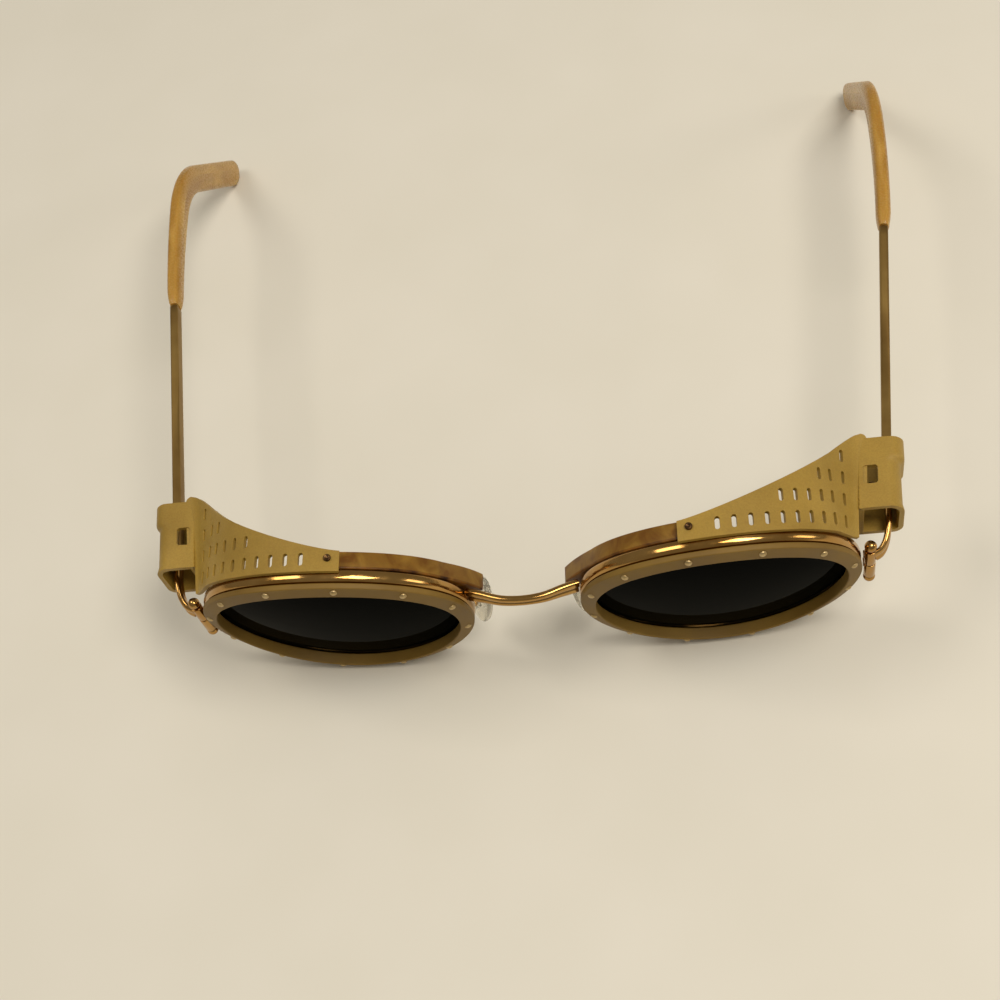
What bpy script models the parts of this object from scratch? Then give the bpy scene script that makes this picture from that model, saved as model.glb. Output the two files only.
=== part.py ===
"""Oval wire-rim sunglasses with perforated side shields.

The front is a pair of gold wire rims joined by a reeded bridge. Each rim carries a dark lens, a
studded tan trim ring in front, an amber brow guard behind its nose side and a side shield that
ends in a rectangular sleeve round the hinge. The temples fold inwards on vertical hinge screws
and the nose pads rock on their arms.

X is to the wearer's left (the viewer's right), -Y is forwards, +Z is up. Shapes are worked out
in the glasses frame, whose origin is midway between the lens centres. At the end the glasses
are stood on their rims and temple tips, with the origin under the middle of the bounding box.
"""
import math

import bmesh
import bpy
from mathutils import Vector

MM = 0.001
UP = Vector((0.0, 0.0, 1.0))
CLEARANCE = 0.3 * MM

# Rims: the centre line of each is an ellipse, leant forwards and bent back towards the side
LENS_HALF_SPACING = 37.4 * MM
RIM_HALF_WIDTH = 25.3 * MM
RIM_HALF_HEIGHT = 23.4 * MM
FACE_FORM = math.radians(3.0)
PANTOSCOPIC = math.radians(8.0)
RIM_CURVE_RADIUS = 164.0 * MM
RIM_STEPS = 48

# Trim rings, wire rims and lenses, from front to back
TRIM_WIDTH = 2.76 * MM
TRIM_FRONT = 1.38 * MM
TRIM_REAR = 1.25 * MM
WIRE_DEPTH = 1.9 * MM
WIRE_WIDTH = 1.45 * MM
WIRE_SPLIT = 0.5 * MM
LENS_THICKNESS = 1.6 * MM
LENS_DOME = 1.5 * MM
BEVEL_HEIGHT = 0.48 * MM

# Studs on the trim rings
STUD_COUNT = 12
STUD_FIRST_ANGLE = 12.0
STUD_RADIUS = 0.72 * MM
STUD_HEIGHT = 0.55 * MM

# Bridge
BRIDGE_ANGLE = 168.0
BRIDGE_HEIGHT = 3.5 * MM
BRIDGE_MIDDLE_HEIGHT = 2.5 * MM
BRIDGE_THICKNESS = 1.5 * MM
BRIDGE_RISE = 1.6 * MM
BRIDGE_FORWARD = 3.0 * MM

# Brow guards
GUARD_THICKNESS = 1.1 * MM
GUARD_INSET = 0.6 * MM
GUARD_WIDTH = 3.35 * MM
GUARD_FIRST_ANGLE = 92.0
GUARD_LAST_ANGLE = 150.0
GUARD_RUN = 11.2 * MM
GUARD_SET_BACK = 1.5 * MM
RIVET_DEPTH = 5.2 * MM

# Rim locks: a barrel in two halves beside each rim's split, held by a ball-headed screw
LOCK_OUT = 1.6 * MM
LOCK_FORWARD = 1.2 * MM
LOCK_RADIUS = 1.1 * MM
LOCK_HALF = 4.7 * MM
BALL_RADIUS = 1.15 * MM
PIN_RADIUS = 0.5 * MM

# Hinges, straps and temples
HINGE_OUT = 1.7 * MM
HINGE_BACK = 12.0 * MM
KNUCKLE_RADIUS = 1.15 * MM
KNUCKLE_HEIGHT = 0.95 * MM
TONGUE_HEIGHT = 1.3 * MM
STRAP_THICKNESS = 1.2 * MM
STRAP_HEIGHT = 3.5 * MM
TEMPLE_Z = 5.0 * MM
TEMPLE_OFFSET = 2.7 * MM
TEMPLE_BUTT = 0.75 * MM
TEMPLE_SPLAY = math.radians(6.5)
TEMPLE_THICKNESS = 1.8 * MM
TEMPLE_HEIGHT = 3.1 * MM
NECK_THICKNESS = 1.3 * MM
BLADE_LENGTH = 63.75 * MM
CORE_LENGTH = 20.0 * MM
CORE_THICKNESS = 0.8 * MM
CORE_HEIGHT = 1.8 * MM
TIP_THICKNESS = 3.2 * MM
TIP_HEIGHT = 6.4 * MM
TIP_STRAIGHT = 28.0 * MM
TIP_CURVE_RADIUS = 312.0 * MM
TIP_BEND = math.radians(46.0)
TIP_BEND_RADIUS = 22.0 * MM

# Side shields
SHEET = 0.9 * MM
SEAM_ANGLE = 104.0
BEND_ANGLE = 38.0
SHIELD_FRONT = 2.6 * MM
SEAM_DEPTH = 6.8 * MM
SIDE_DEPTH = 19.4 * MM
SLOT_LENGTH = 2.6 * MM
SLOT_WIDTH = 0.9 * MM
SLOT_PITCH = 6.2
SLOT_ROW = 4.6 * MM
SLOT_START = 5.2 * MM
SLOT_FIRST_ANGLE = 89.2
SLEEVE_WALL = 1.0 * MM
SLEEVE_LENGTH = 15.0 * MM
SLEEVE_BEHIND_HINGE = 7.9 * MM
SLEEVE_INSIDE = 3.4 * MM
SLEEVE_OUTSIDE = 4.7 * MM
SLEEVE_FLARE = 1.2 * MM
LIP_HEIGHT = 0.8 * MM
LIP_LENGTH = 5.2 * MM
SLEEVE_SLOPE = 0.0933
SLEEVE_HEIGHT = 10.3 * MM
SLEEVE_CORNER = 3.0 * MM
SLEEVE_HEEL = 2.0 * MM
WINDOW_WIDTH = 2.8 * MM
WINDOW_LENGTH = 3.9 * MM
FOLD_GAP = 1.5 * MM

# Nose pads
PAD_LENGTH = 12.5 * MM
PAD_WIDTH = 7.2 * MM
PAD_THICKNESS = 1.3 * MM
PAD_BACK = 3.4 * MM
PAD_DROP = 7.5 * MM
PAD_OUT = 0.9 * MM
PAD_AXLE = 0.75 * MM
PAD_EAR = 0.65 * MM
ARM_RADIUS = 0.42 * MM

# Sizes that follow from the ones above
TRIM_HALF = TRIM_WIDTH / 2
WIRE_FRONT = TRIM_REAR + CLEARANCE
WIRE_REAR = WIRE_FRONT + WIRE_DEPTH
LENS_DEPTH = WIRE_FRONT + WIRE_DEPTH / 2
LENS_EDGE = -0.4 * MM
WIRE_INNER = LENS_EDGE + 1.5 * CLEARANCE
WIRE_OUTER = WIRE_INNER + WIRE_WIDTH
GUARD_FRONT = WIRE_REAR + CLEARANCE
GUARD_OUTER = GUARD_INSET + GUARD_THICKNESS
SHIELD_INNER = GUARD_OUTER + CLEARANCE
SHIELD_OUTER = SHIELD_INNER + SHEET
BORE_RADIUS = PIN_RADIUS + CLEARANCE
KNUCKLE_LOW = TEMPLE_Z - TONGUE_HEIGHT / 2 - CLEARANCE - KNUCKLE_HEIGHT
KNUCKLE_HIGH = TEMPLE_Z + TONGUE_HEIGHT / 2 + CLEARANCE + KNUCKLE_HEIGHT
SLEEVE_BOTTOM = KNUCKLE_LOW - CLEARANCE - SLEEVE_WALL
SLEEVE_TOP = SLEEVE_BOTTOM + SLEEVE_HEIGHT


# Scene and mesh helpers

def clear_scene():
    for thing in list(bpy.data.objects):
        bpy.data.objects.remove(thing, do_unlink=True)


def material(name, colour, roughness, metallic=0.0):
    mat = bpy.data.materials.new(name)
    mat.use_nodes = True
    shader = mat.node_tree.nodes["Principled BSDF"]
    shader.inputs["Base Color"].default_value = (*colour, 1.0)
    shader.inputs["Roughness"].default_value = roughness
    shader.inputs["Metallic"].default_value = metallic
    mat.diffuse_color = (*colour, 1.0)
    return mat


def placed_at(obj):
    """Where an object's origin is in the glasses frame."""
    if obj.parent is None:
        return obj.location.copy()
    return obj.location + placed_at(obj.parent)


def pivot(name, position, parent=None):
    point = bpy.data.objects.new(name, None)
    point.empty_display_size = 0.005
    bpy.context.collection.objects.link(point)
    if parent is not None:
        point.parent = parent
        position = position - placed_at(parent)
    point.location = position
    return point


def place(name, bm, origin, mat, parent, smooth=True):
    """Make an object from a bmesh in the glasses frame, with its origin at a chosen point."""
    bmesh.ops.translate(bm, verts=bm.verts, vec=-origin)
    mesh = bpy.data.meshes.new(name)
    bm.to_mesh(mesh)
    bm.free()
    if smooth:
        mesh.shade_smooth()
        mesh.set_sharp_from_angle(angle=math.radians(35.0))
    if mat is not None:
        mesh.materials.append(mat)
    obj = bpy.data.objects.new(name, mesh)
    bpy.context.collection.objects.link(obj)
    obj.parent = parent
    obj.location = origin - placed_at(parent)
    return obj


def operand(name, bm, front, smooth=False):
    """A hidden solid that others are joined with or cut by."""
    obj = place(name, bm, Vector((0.0, 0.0, 0.0)), None, front, smooth)
    obj.hide_render = True
    obj.display_type = "WIRE"
    return obj


def boolean(obj, other, operation):
    modifier = obj.modifiers.new(other.name, "BOOLEAN")
    modifier.operation = operation
    modifier.solver = "EXACT"
    modifier.object = other


def join(obj, front, *solids):
    for bm in solids:
        name = "%s_join_%d" % (obj.name, len(obj.modifiers) + 1)
        boolean(obj, operand(name, bm, front, smooth=obj.data.polygons[0].use_smooth), "UNION")


def cut(obj, front, *solids):
    for bm in solids:
        name = "%s_cut_%d" % (obj.name, len(obj.modifiers) + 1)
        boolean(obj, operand(name, bm, front), "DIFFERENCE")


def skin(rings, closed=False, poles=(None, None)):
    """A closed bmesh through a row of point rings.

    Neighbouring rings are joined by quads. Open ends are capped, with a fan to a pole point
    where one is given.
    """
    bm = bmesh.new()
    loops = [[bm.verts.new(point) for point in ring] for ring in rings]
    spans = len(loops) if closed else len(loops) - 1
    for i in range(spans):
        first = loops[i]
        second = loops[(i + 1) % len(loops)]
        for j in range(len(first)):
            k = (j + 1) % len(first)
            bm.faces.new((first[j], first[k], second[k], second[j]))
    if not closed:
        for loop, pole in ((loops[0], poles[0]), (loops[-1], poles[1])):
            if pole is None:
                bm.faces.new(loop)
                continue
            tip = bm.verts.new(pole)
            for j in range(len(loop)):
                bm.faces.new((loop[j], loop[(j + 1) % len(loop)], tip))
    bmesh.ops.recalc_face_normals(bm, faces=bm.faces)
    return bm


def merge(target, source):
    """Add one bmesh's shell to another and drop the source."""
    scratch = bpy.data.meshes.new("scratch")
    source.to_mesh(scratch)
    source.free()
    target.from_mesh(scratch)
    bpy.data.meshes.remove(scratch)


def turned(profile, centre, axis, steps):
    """A solid of revolution from (radius, height) pairs about an axis; radius 0 is a pole."""
    turn = axis.to_track_quat("Z", "Y").to_matrix()
    poles = [None, None]
    rings = []
    for index, (radius, height) in enumerate(profile):
        if radius == 0.0:
            poles[0 if index == 0 else 1] = centre + axis * height
            continue
        ring = []
        for i in range(steps):
            angle = 2 * math.pi * i / steps
            spot = Vector((radius * math.cos(angle), radius * math.sin(angle), height))
            ring.append(centre + turn @ spot)
        rings.append(ring)
    return skin(rings, poles=tuple(poles))


def ball_profile(radius, centre_height, start_degrees, steps=4):
    """Profile points up a ball from a starting latitude, then its pole."""
    points = []
    for i in range(steps):
        angle = math.radians(start_degrees + (90.0 - start_degrees) * i / steps)
        points.append((radius * math.cos(angle), centre_height + radius * math.sin(angle)))
    points.append((0.0, centre_height + radius))
    return points


def smooth_path(points, count):
    """Points at even parameter steps along a Catmull-Rom curve through the given points."""
    ends = [2 * points[0] - points[1]] + list(points) + [2 * points[-1] - points[-2]]
    spans = len(points) - 1
    result = []
    for i in range(count + 1):
        t = spans * i / count
        k = min(int(t), spans - 1)
        t -= k
        a, b, c, d = ends[k:k + 4]
        result.append(0.5 * ((2 * b) + (c - a) * t + (2 * a - 5 * b + 4 * c - d) * t * t
                             + (3 * b - a - 3 * c + d) * t ** 3))
    return result


def swept(path, profile, up=UP, scales=None):
    """A solid made by carrying a profile of (across, upwards) pairs along a path."""
    rings = []
    for i, point in enumerate(path):
        before = path[max(i - 1, 0)]
        after = path[min(i + 1, len(path) - 1)]
        forward = (after - before).normalized()
        across = up.cross(forward).normalized()
        upwards = forward.cross(across)
        wide, tall = (1.0, 1.0) if scales is None else scales[i]
        rings.append([point + across * (a * wide) + upwards * (b * tall) for a, b in profile])
    return skin(rings)


def rounded_rectangle(width, height, radius, corner_steps):
    points = []
    for quadrant, (sx, sy) in enumerate(((1, 1), (-1, 1), (-1, -1), (1, -1))):
        for i in range(corner_steps + 1):
            angle = math.pi / 2 * (quadrant + i / corner_steps)
            points.append((sx * (width / 2 - radius) + radius * math.cos(angle),
                           sy * (height / 2 - radius) + radius * math.sin(angle)))
    return points


def reeded_section(height, thickness, groove):
    """A bar's section with two round ribs, one above the other, and a groove between them."""
    half = height / 2
    side = thickness / 2
    quarter = ((0.45 * side, half), (side, 0.62 * half), (side, 0.38 * half), (side - groove, 0.0))
    right = list(quarter) + [(a, -b) for a, b in reversed(quarter[:3])]
    return right + [(-a, b) for a, b in reversed(right)]


def mirrored(point, side):
    return Vector((side * point.x, point.y, point.z))


def upright(profile, axis, side, steps=14):
    """A solid of revolution about an upright axis through a point given for the side at +X."""
    return turned(profile, Vector((side * axis.x, axis.y, 0.0)), UP, steps)


def column(axis, radius, low, high, side, steps=14):
    return upright(((radius, low), (radius, high)), axis, side, steps)


def plate(outline, low, high, side):
    """A flat plate between two heights, from its plan for the side at +X."""
    return skin([[mirrored(Vector((x, y, z)), side) for x, y in outline] for z in (low, high)])


# Rims and what sits on them

def lens_point(side, across, upwards, depth):
    """A point from a lens's middle: across to its outer side, up, and forwards from its plane."""
    forwards = Vector((side * math.sin(FACE_FORM), -math.cos(FACE_FORM), 0.0))
    lateral = Vector((side * math.cos(FACE_FORM), math.sin(FACE_FORM), 0.0))
    rise = UP * math.cos(PANTOSCOPIC) + forwards * math.sin(PANTOSCOPIC)
    normal = forwards * math.cos(PANTOSCOPIC) - UP * math.sin(PANTOSCOPIC)
    centre = Vector((side * LENS_HALF_SPACING, 0.0, 0.0))
    bend = across * across / (2 * RIM_CURVE_RADIUS)
    return centre + lateral * across + rise * upwards + normal * (depth - bend)


def rim_point(side, degrees, radial, depth):
    """A point near a rim's centre line: radial is square to it, depth is forwards."""
    angle = math.radians(degrees)
    square = Vector((RIM_HALF_HEIGHT * math.cos(angle), RIM_HALF_WIDTH * math.sin(angle)))
    square.normalize()
    return lens_point(side, RIM_HALF_WIDTH * math.cos(angle) + radial * square.x,
                      RIM_HALF_HEIGHT * math.sin(angle) + radial * square.y, depth)


def rim_ring(side, radial, depth):
    return [rim_point(side, 360.0 * i / RIM_STEPS, radial, depth) for i in range(RIM_STEPS)]


def dome_ring(side, share, depth):
    """A ring of the lens's surface at a share of its radius."""
    ring = []
    for i in range(RIM_STEPS):
        angle = 2 * math.pi * i / RIM_STEPS
        across = share * (RIM_HALF_WIDTH + LENS_EDGE) * math.cos(angle)
        upwards = share * (RIM_HALF_HEIGHT + LENS_EDGE) * math.sin(angle)
        ring.append(lens_point(side, across, upwards, depth + LENS_DOME * (1 - share * share)))
    return ring


def lens(side):
    """A domed lens whose edge has a V bevel that sits in the rim's groove."""
    front = LENS_THICKNESS / 2 - LENS_DEPTH
    back = -LENS_THICKNESS / 2 - LENS_DEPTH
    rings = [dome_ring(side, share, front) for share in (0.45, 0.8)]
    rings.append(rim_ring(side, LENS_EDGE, front))
    for radial, depth in ((0.0, BEVEL_HEIGHT), (BEVEL_HEIGHT, 0.0), (0.0, -BEVEL_HEIGHT)):
        rings.append(rim_ring(side, LENS_EDGE + radial, depth - LENS_DEPTH))
    rings.append(rim_ring(side, LENS_EDGE, back))
    rings += [dome_ring(side, share, back) for share in (0.8, 0.45)]
    poles = [lens_point(side, 0.0, 0.0, depth + LENS_DOME) for depth in (front, back)]
    return skin(rings, poles=tuple(poles))


def eyewire(side):
    """The wire rim, split at its outer end: rounded outside, V-grooved inside for the lens."""
    half = WIRE_DEPTH / 2
    outside = [(0.0, 0.93 * half), (0.35, half), (0.76, 0.79 * half), (1.0, 0.26 * half)]
    section = [(WIRE_INNER + WIRE_WIDTH * share, depth) for share, depth in outside]
    section += [(radial, -depth) for radial, depth in reversed(section)]
    section += [(WIRE_INNER, -BEVEL_HEIGHT), (WIRE_INNER + BEVEL_HEIGHT, 0.0), (WIRE_INNER, BEVEL_HEIGHT)]
    split = math.degrees(WIRE_SPLIT / 2 / RIM_HALF_WIDTH)
    rings = []
    for i in range(RIM_STEPS + 1):
        degrees = split + (360.0 - 2 * split) * i / RIM_STEPS
        rings.append([rim_point(side, degrees, radial, depth - LENS_DEPTH) for radial, depth in section])
    return skin(rings)


def trim_ring(side):
    section = ((TRIM_HALF, -TRIM_REAR), (TRIM_HALF, 0.25 * TRIM_FRONT),
               (0.72 * TRIM_HALF, 0.76 * TRIM_FRONT), (0.33 * TRIM_HALF, TRIM_FRONT),
               (-0.33 * TRIM_HALF, TRIM_FRONT), (-0.72 * TRIM_HALF, 0.76 * TRIM_FRONT),
               (-TRIM_HALF, 0.25 * TRIM_FRONT), (-TRIM_HALF, -TRIM_REAR))
    rings = []
    for i in range(RIM_STEPS):
        degrees = 360.0 * i / RIM_STEPS
        rings.append([rim_point(side, degrees, radial, depth) for radial, depth in section])
    return skin(rings, closed=True)


def stud_mesh(mat):
    """A low dome, flat underneath, that all the studs share."""
    profile = ((STUD_RADIUS, 0.0), (0.75 * STUD_RADIUS, 0.68 * STUD_HEIGHT), (0.0, STUD_HEIGHT))
    bm = turned(profile, Vector((0.0, 0.0, 0.0)), UP, 8)
    mesh = bpy.data.meshes.new("stud")
    bm.to_mesh(mesh)
    bm.free()
    mesh.shade_smooth()
    mesh.set_sharp_from_angle(angle=math.radians(60.0))
    mesh.materials.append(mat)
    return mesh


def place_stud(name, mesh, side, degrees, front):
    seat = rim_point(side, degrees, 0.0, TRIM_FRONT + CLEARANCE)
    outwards = rim_point(side, degrees, 0.0, TRIM_FRONT + 2 * CLEARANCE) - seat
    obj = bpy.data.objects.new(name, mesh)
    bpy.context.collection.objects.link(obj)
    obj.parent = front
    obj.location = seat
    obj.rotation_euler = outwards.to_track_quat("Z", "Y").to_euler()


def bridge_path():
    """Up from each rim and forwards in a shallow arch."""
    end = rim_point(1, BRIDGE_ANGLE, WIRE_OUTER + 1.5 * CLEARANCE, -LENS_DEPTH)
    knots = []
    for share, forward, rise in ((-1.0, 0.0, 0.0), (-0.72, 0.37, 0.4), (-0.38, 0.83, 0.8), (0.0, 1.0, 1.0),
                                 (0.38, 0.83, 0.8), (0.72, 0.37, 0.4), (1.0, 0.0, 0.0)):
        knots.append(Vector((share * end.x, end.y - 0.2 * MM - forward * BRIDGE_FORWARD,
                             end.z - BRIDGE_HEIGHT / 4 + rise * BRIDGE_RISE)))
    return smooth_path(knots, 18)


def bridge():
    """The bar is lowest in the middle and as high as its ends near the rims."""
    path = bridge_path()
    scales = []
    for point in path:
        share = min(1.0, 1.25 * abs(point.x / path[-1].x))
        low = BRIDGE_MIDDLE_HEIGHT / BRIDGE_HEIGHT
        scales.append((0.9 + 0.1 * share, low + (1.0 - low) * share * share))
    return swept(path, reeded_section(BRIDGE_HEIGHT, BRIDGE_THICKNESS, 0.3 * MM), scales=scales)


def guard_point(side, degrees, radial, depth):
    """A point of the guard: behind the rim, or on the straight run down towards the nose."""
    angle = min(degrees, GUARD_LAST_ANGLE)
    share = (degrees - angle) / 30.0
    on_rim = rim_point(side, angle, radial, 0.0)
    run = (on_rim - rim_point(side, angle - 2.0, radial, 0.0)).normalized() * (GUARD_RUN * share)
    run.y = GUARD_SET_BACK * math.sin(math.pi / 2 * share)
    return on_rim + run + Vector((0.0, depth, 0.0))


def guard_inside(side, degrees, depth):
    """A point of the guard's inner edge, which keeps behind the wire all the way to the nose."""
    beyond = max(0.0, degrees - GUARD_LAST_ANGLE) / 30.0 * math.degrees(GUARD_RUN / RIM_HALF_HEIGHT)
    angle = min(degrees, GUARD_LAST_ANGLE) + beyond
    return rim_point(side, angle, GUARD_INSET, 0.0) + Vector((0.0, depth, 0.0))


def brow_guard(side):
    """A strip along the rim that thickens to a wedge where its outer edge runs on straight."""
    bends = 14
    step = (GUARD_LAST_ANGLE - GUARD_FIRST_ANGLE) / bends
    stations = [GUARD_FIRST_ANGLE + step * i for i in range(bends)]
    stations += [GUARD_LAST_ANGLE + run for run in (0.0, 7.5, 15.0, 22.5, 30.0)]
    back = GUARD_FRONT + GUARD_WIDTH
    return skin([[guard_inside(side, degrees, GUARD_FRONT), guard_point(side, degrees, GUARD_OUTER, GUARD_FRONT),
                  guard_point(side, degrees, GUARD_OUTER, back), guard_inside(side, degrees, back)]
                 for degrees in stations])


# Rim locks, straps and hinges

def lock_centre():
    """The lock's axis in plan, beside the rim's split, for the side at +X."""
    edge = rim_point(1, 0.0, WIRE_OUTER, -LENS_DEPTH)
    return Vector((edge.x + LOCK_OUT, edge.y - LOCK_FORWARD, 0.0))


def hinge_centre():
    """The hinge screw's axis at the temple's height, for the side at +X."""
    lock = lock_centre()
    return Vector((lock.x + HINGE_OUT, lock.y + HINGE_BACK, TEMPLE_Z))


def strap_path():
    """From the rim lock out round the corner and back to the hinge."""
    lock = lock_centre()
    hinge = hinge_centre()
    end = Vector((hinge.x + TEMPLE_OFFSET, hinge.y - TEMPLE_BUTT - CLEARANCE, TEMPLE_Z))
    start_z = CLEARANCE + 0.51 * LOCK_HALF
    knots = []
    for out, back, rise in ((0.16, -0.03, 0.0), (0.48, 0.04, 0.17), (0.73, 0.20, 0.52),
                            (0.89, 0.45, 0.87), (0.955, 0.7, 1.0), (1.0, 1.0, 1.0)):
        knots.append(Vector((lock.x + out * (end.x - lock.x), lock.y + back * (end.y - lock.y),
                             start_z + rise * (end.z - start_z))))
    return smooth_path(knots, 14)


def strap(side):
    path = [mirrored(point, side) for point in strap_path()]
    return swept(path, reeded_section(STRAP_HEIGHT, STRAP_THICKNESS, 0.25 * MM))


def lock_tab(side, low, high):
    """The plate that ties half of a lock's barrel to the rim's end."""
    lock = lock_centre()
    edge = rim_point(1, 0.0, WIRE_OUTER, -LENS_DEPTH)
    near = edge.x + CLEARANCE + 0.1 * MM
    outline = ((near, edge.y - 0.8 * MM), (near, edge.y + 0.15 * MM),
               (lock.x, lock.y + 0.85 * LOCK_RADIUS), (lock.x, lock.y - 0.5 * LOCK_RADIUS))
    return plate(outline, low, high, side)


def lock_block(side):
    """Lower half of the rim lock, with a ball under it."""
    ball = ball_profile(BALL_RADIUS, LOCK_HALF + 0.87 * BALL_RADIUS, -50.0)
    profile = [(0.0, CLEARANCE / 2), (LOCK_RADIUS, CLEARANCE / 2), (LOCK_RADIUS, LOCK_HALF)] + ball
    profile = [(radius, -height) for radius, height in profile]
    return upright(profile, lock_centre(), side)


def closing_screw(side):
    """Ball-headed screw down through both halves of the rim lock."""
    seat = LOCK_HALF + CLEARANCE
    foot = -0.76 * LOCK_HALF
    profile = [(0.0, foot), (PIN_RADIUS, foot), (PIN_RADIUS, seat), (0.75 * BALL_RADIUS, seat)]
    profile += ball_profile(BALL_RADIUS, seat + 0.87 * BALL_RADIUS, -35.0)
    return upright(profile, lock_centre(), side)


def hinge_web(side, low, high, on_strap):
    """The plate that carries a knuckle, from beside the pin out to the strap or the temple."""
    hinge = hinge_centre()
    reach = TEMPLE_OFFSET - 0.1 * MM
    root = 0.2 * MM
    if on_strap:
        outline = ((root, -0.9 * KNUCKLE_RADIUS), (root, -0.15 * KNUCKLE_RADIUS),
                   (reach, -TEMPLE_BUTT - 2 * CLEARANCE), (reach, -TEMPLE_BUTT - 2 * CLEARANCE - 1.3 * MM))
    else:
        outline = ((root, 0.15 * KNUCKLE_RADIUS), (root, 0.9 * KNUCKLE_RADIUS), (reach, 1.9 * MM),
                   (reach, 0.15 * KNUCKLE_RADIUS))
    return plate([(hinge.x + x, hinge.y + y) for x, y in outline], low, high, side)


def hinge_screw(side):
    seat = KNUCKLE_HIGH + CLEARANCE
    head = 0.82 * KNUCKLE_RADIUS
    profile = ((0.0, KNUCKLE_LOW), (PIN_RADIUS, KNUCKLE_LOW), (PIN_RADIUS, seat), (head, seat),
               (head, seat + 0.35 * MM), (0.65 * head, seat + 0.6 * MM), (0.0, seat + 0.65 * MM))
    return upright(profile, hinge_centre(), side, 12)


# Temples

def temple_point(run, drop=0.0):
    """The temple's centre line: straight and splayed, easing towards parallel along the tip."""
    hinge = hinge_centre()
    ease = max(0.0, run - BLADE_LENGTH)
    return Vector((hinge.x + TEMPLE_OFFSET + run * math.tan(TEMPLE_SPLAY) - ease * ease / (2 * TIP_CURVE_RADIUS),
                   hinge.y - TEMPLE_BUTT + run, TEMPLE_Z - drop))


def blade(side):
    """A slim bar, thinned to a neck where it runs inside the sleeve."""
    section = rounded_rectangle(TEMPLE_THICKNESS, TEMPLE_HEIGHT, 0.35 * TEMPLE_THICKNESS, 1)
    neck = TEMPLE_BUTT + SLEEVE_BEHIND_HINGE + 2 * CLEARANCE
    thin = (NECK_THICKNESS / TEMPLE_THICKNESS, 0.97)
    runs = (0.0, neck, neck + CLEARANCE, 0.5 * BLADE_LENGTH, BLADE_LENGTH - CLEARANCE)
    return swept([mirrored(temple_point(run), side) for run in runs], section,
                 scales=(thin, thin, (1.0, 1.0), (1.0, 1.0), (1.0, 1.0)))


def core(side, start, end, grown):
    """The blade's core inside the tip, or with a margin the bore that takes it."""
    section = rounded_rectangle(CORE_THICKNESS + 2 * grown, CORE_HEIGHT + 2 * grown, 0.25 * MM + grown / 2, 1)
    return swept([mirrored(temple_point(BLADE_LENGTH + run), side) for run in (start, end / 2, end)], section)


def tip_stations(tail):
    """Centre line of the tip and its share of growth: on from the blade, down, and straight."""
    stations = []
    for share in (0.0, 0.14, 0.32, 0.64):
        stations.append((temple_point(BLADE_LENGTH + share * TIP_STRAIGHT), share))
    bends = 7
    for i in range(bends + 1):
        angle = TIP_BEND * i / bends
        run = BLADE_LENGTH + TIP_STRAIGHT + TIP_BEND_RADIUS * math.sin(angle)
        stations.append((temple_point(run, TIP_BEND_RADIUS * (1 - math.cos(angle))), 1.0))
    run = BLADE_LENGTH + TIP_STRAIGHT + TIP_BEND_RADIUS * math.sin(TIP_BEND)
    drop = TIP_BEND_RADIUS * (1 - math.cos(TIP_BEND))
    for length in (0.5 * tail, tail - 0.62 * TIP_HEIGHT, tail - 0.2 * TIP_HEIGHT, tail):
        stations.append((temple_point(run + length * math.cos(TIP_BEND),
                                      drop + length * math.sin(TIP_BEND)), 1.0))
    return stations


def temple_tip(side, tail):
    """The tip grows from the blade to a paddle with a rounded end."""
    section = rounded_rectangle(1.0, 1.0, 0.28, 2)
    stations = tip_stations(tail)
    scales = []
    for _, share in stations:
        scales.append((TIP_THICKNESS * (0.96 + 0.04 * share), TIP_HEIGHT * (0.68 + 0.32 * share)))
    scales[0] = (0.66 * TIP_THICKNESS, 0.58 * TIP_HEIGHT)
    scales[-2] = (0.85 * TIP_THICKNESS, 0.74 * TIP_HEIGHT)
    scales[-1] = (0.55 * TIP_THICKNESS, 0.32 * TIP_HEIGHT)
    return swept([mirrored(point, side) for point, _ in stations], section, scales=scales)


def resting_tail():
    """Length of the tip's straight tail with which it reaches as low as the trim rings."""
    floor = min(rim_point(1, 360.0 * i / RIM_STEPS, TRIM_HALF, 0.25 * TRIM_FRONT).z for i in range(RIM_STEPS))
    tail = TIP_STRAIGHT
    trial = temple_tip(1, tail)
    lowest = min(vert.co.z for vert in trial.verts)
    trial.free()
    return tail + (lowest - floor) / math.sin(TIP_BEND)


# Side shields

def crease(y):
    """The line where the perforated panel meets the sleeve, for the side at +X."""
    hinge = hinge_centre()
    front = hinge.y + SLEEVE_BEHIND_HINGE - SLEEVE_LENGTH
    x = hinge.x - SLEEVE_INSIDE
    if y < front:
        share = (front - y) / (5.0 * MM)
        return Vector((x - 0.7 * MM * share, y, SLEEVE_TOP - 1.0 * MM * share))
    return Vector((x + SLEEVE_SLOPE * (y - front), y, SLEEVE_TOP))


def panel_line(degrees, straight, back):
    """A point of the panel's outer face on its front or back edge, for the side at +X.

    degrees runs along the rim to the bend, then straight runs from 0 to 1 out to the crease.
    """
    point = rim_point(1, degrees, SHIELD_OUTER, 0.0)
    share = (SEAM_ANGLE - degrees) / (SEAM_ANGLE - BEND_ANGLE)
    rear = SEAM_DEPTH + (SIDE_DEPTH - SEAM_DEPTH) * share ** 1.4
    point.y += rear if back else SHIELD_FRONT
    if straight > 0.0:
        hinge = hinge_centre()
        end = hinge.y + SLEEVE_BEHIND_HINGE + 1.2 * MM if back else hinge.y - HINGE_BACK - 0.7 * MM
        y = point.y + (end - point.y) * straight
        corner = crease(y)
        point.x += (corner.x - point.x) * straight
        point.z += (corner.z - point.z) * straight
        point.y = y
    return point


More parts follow.
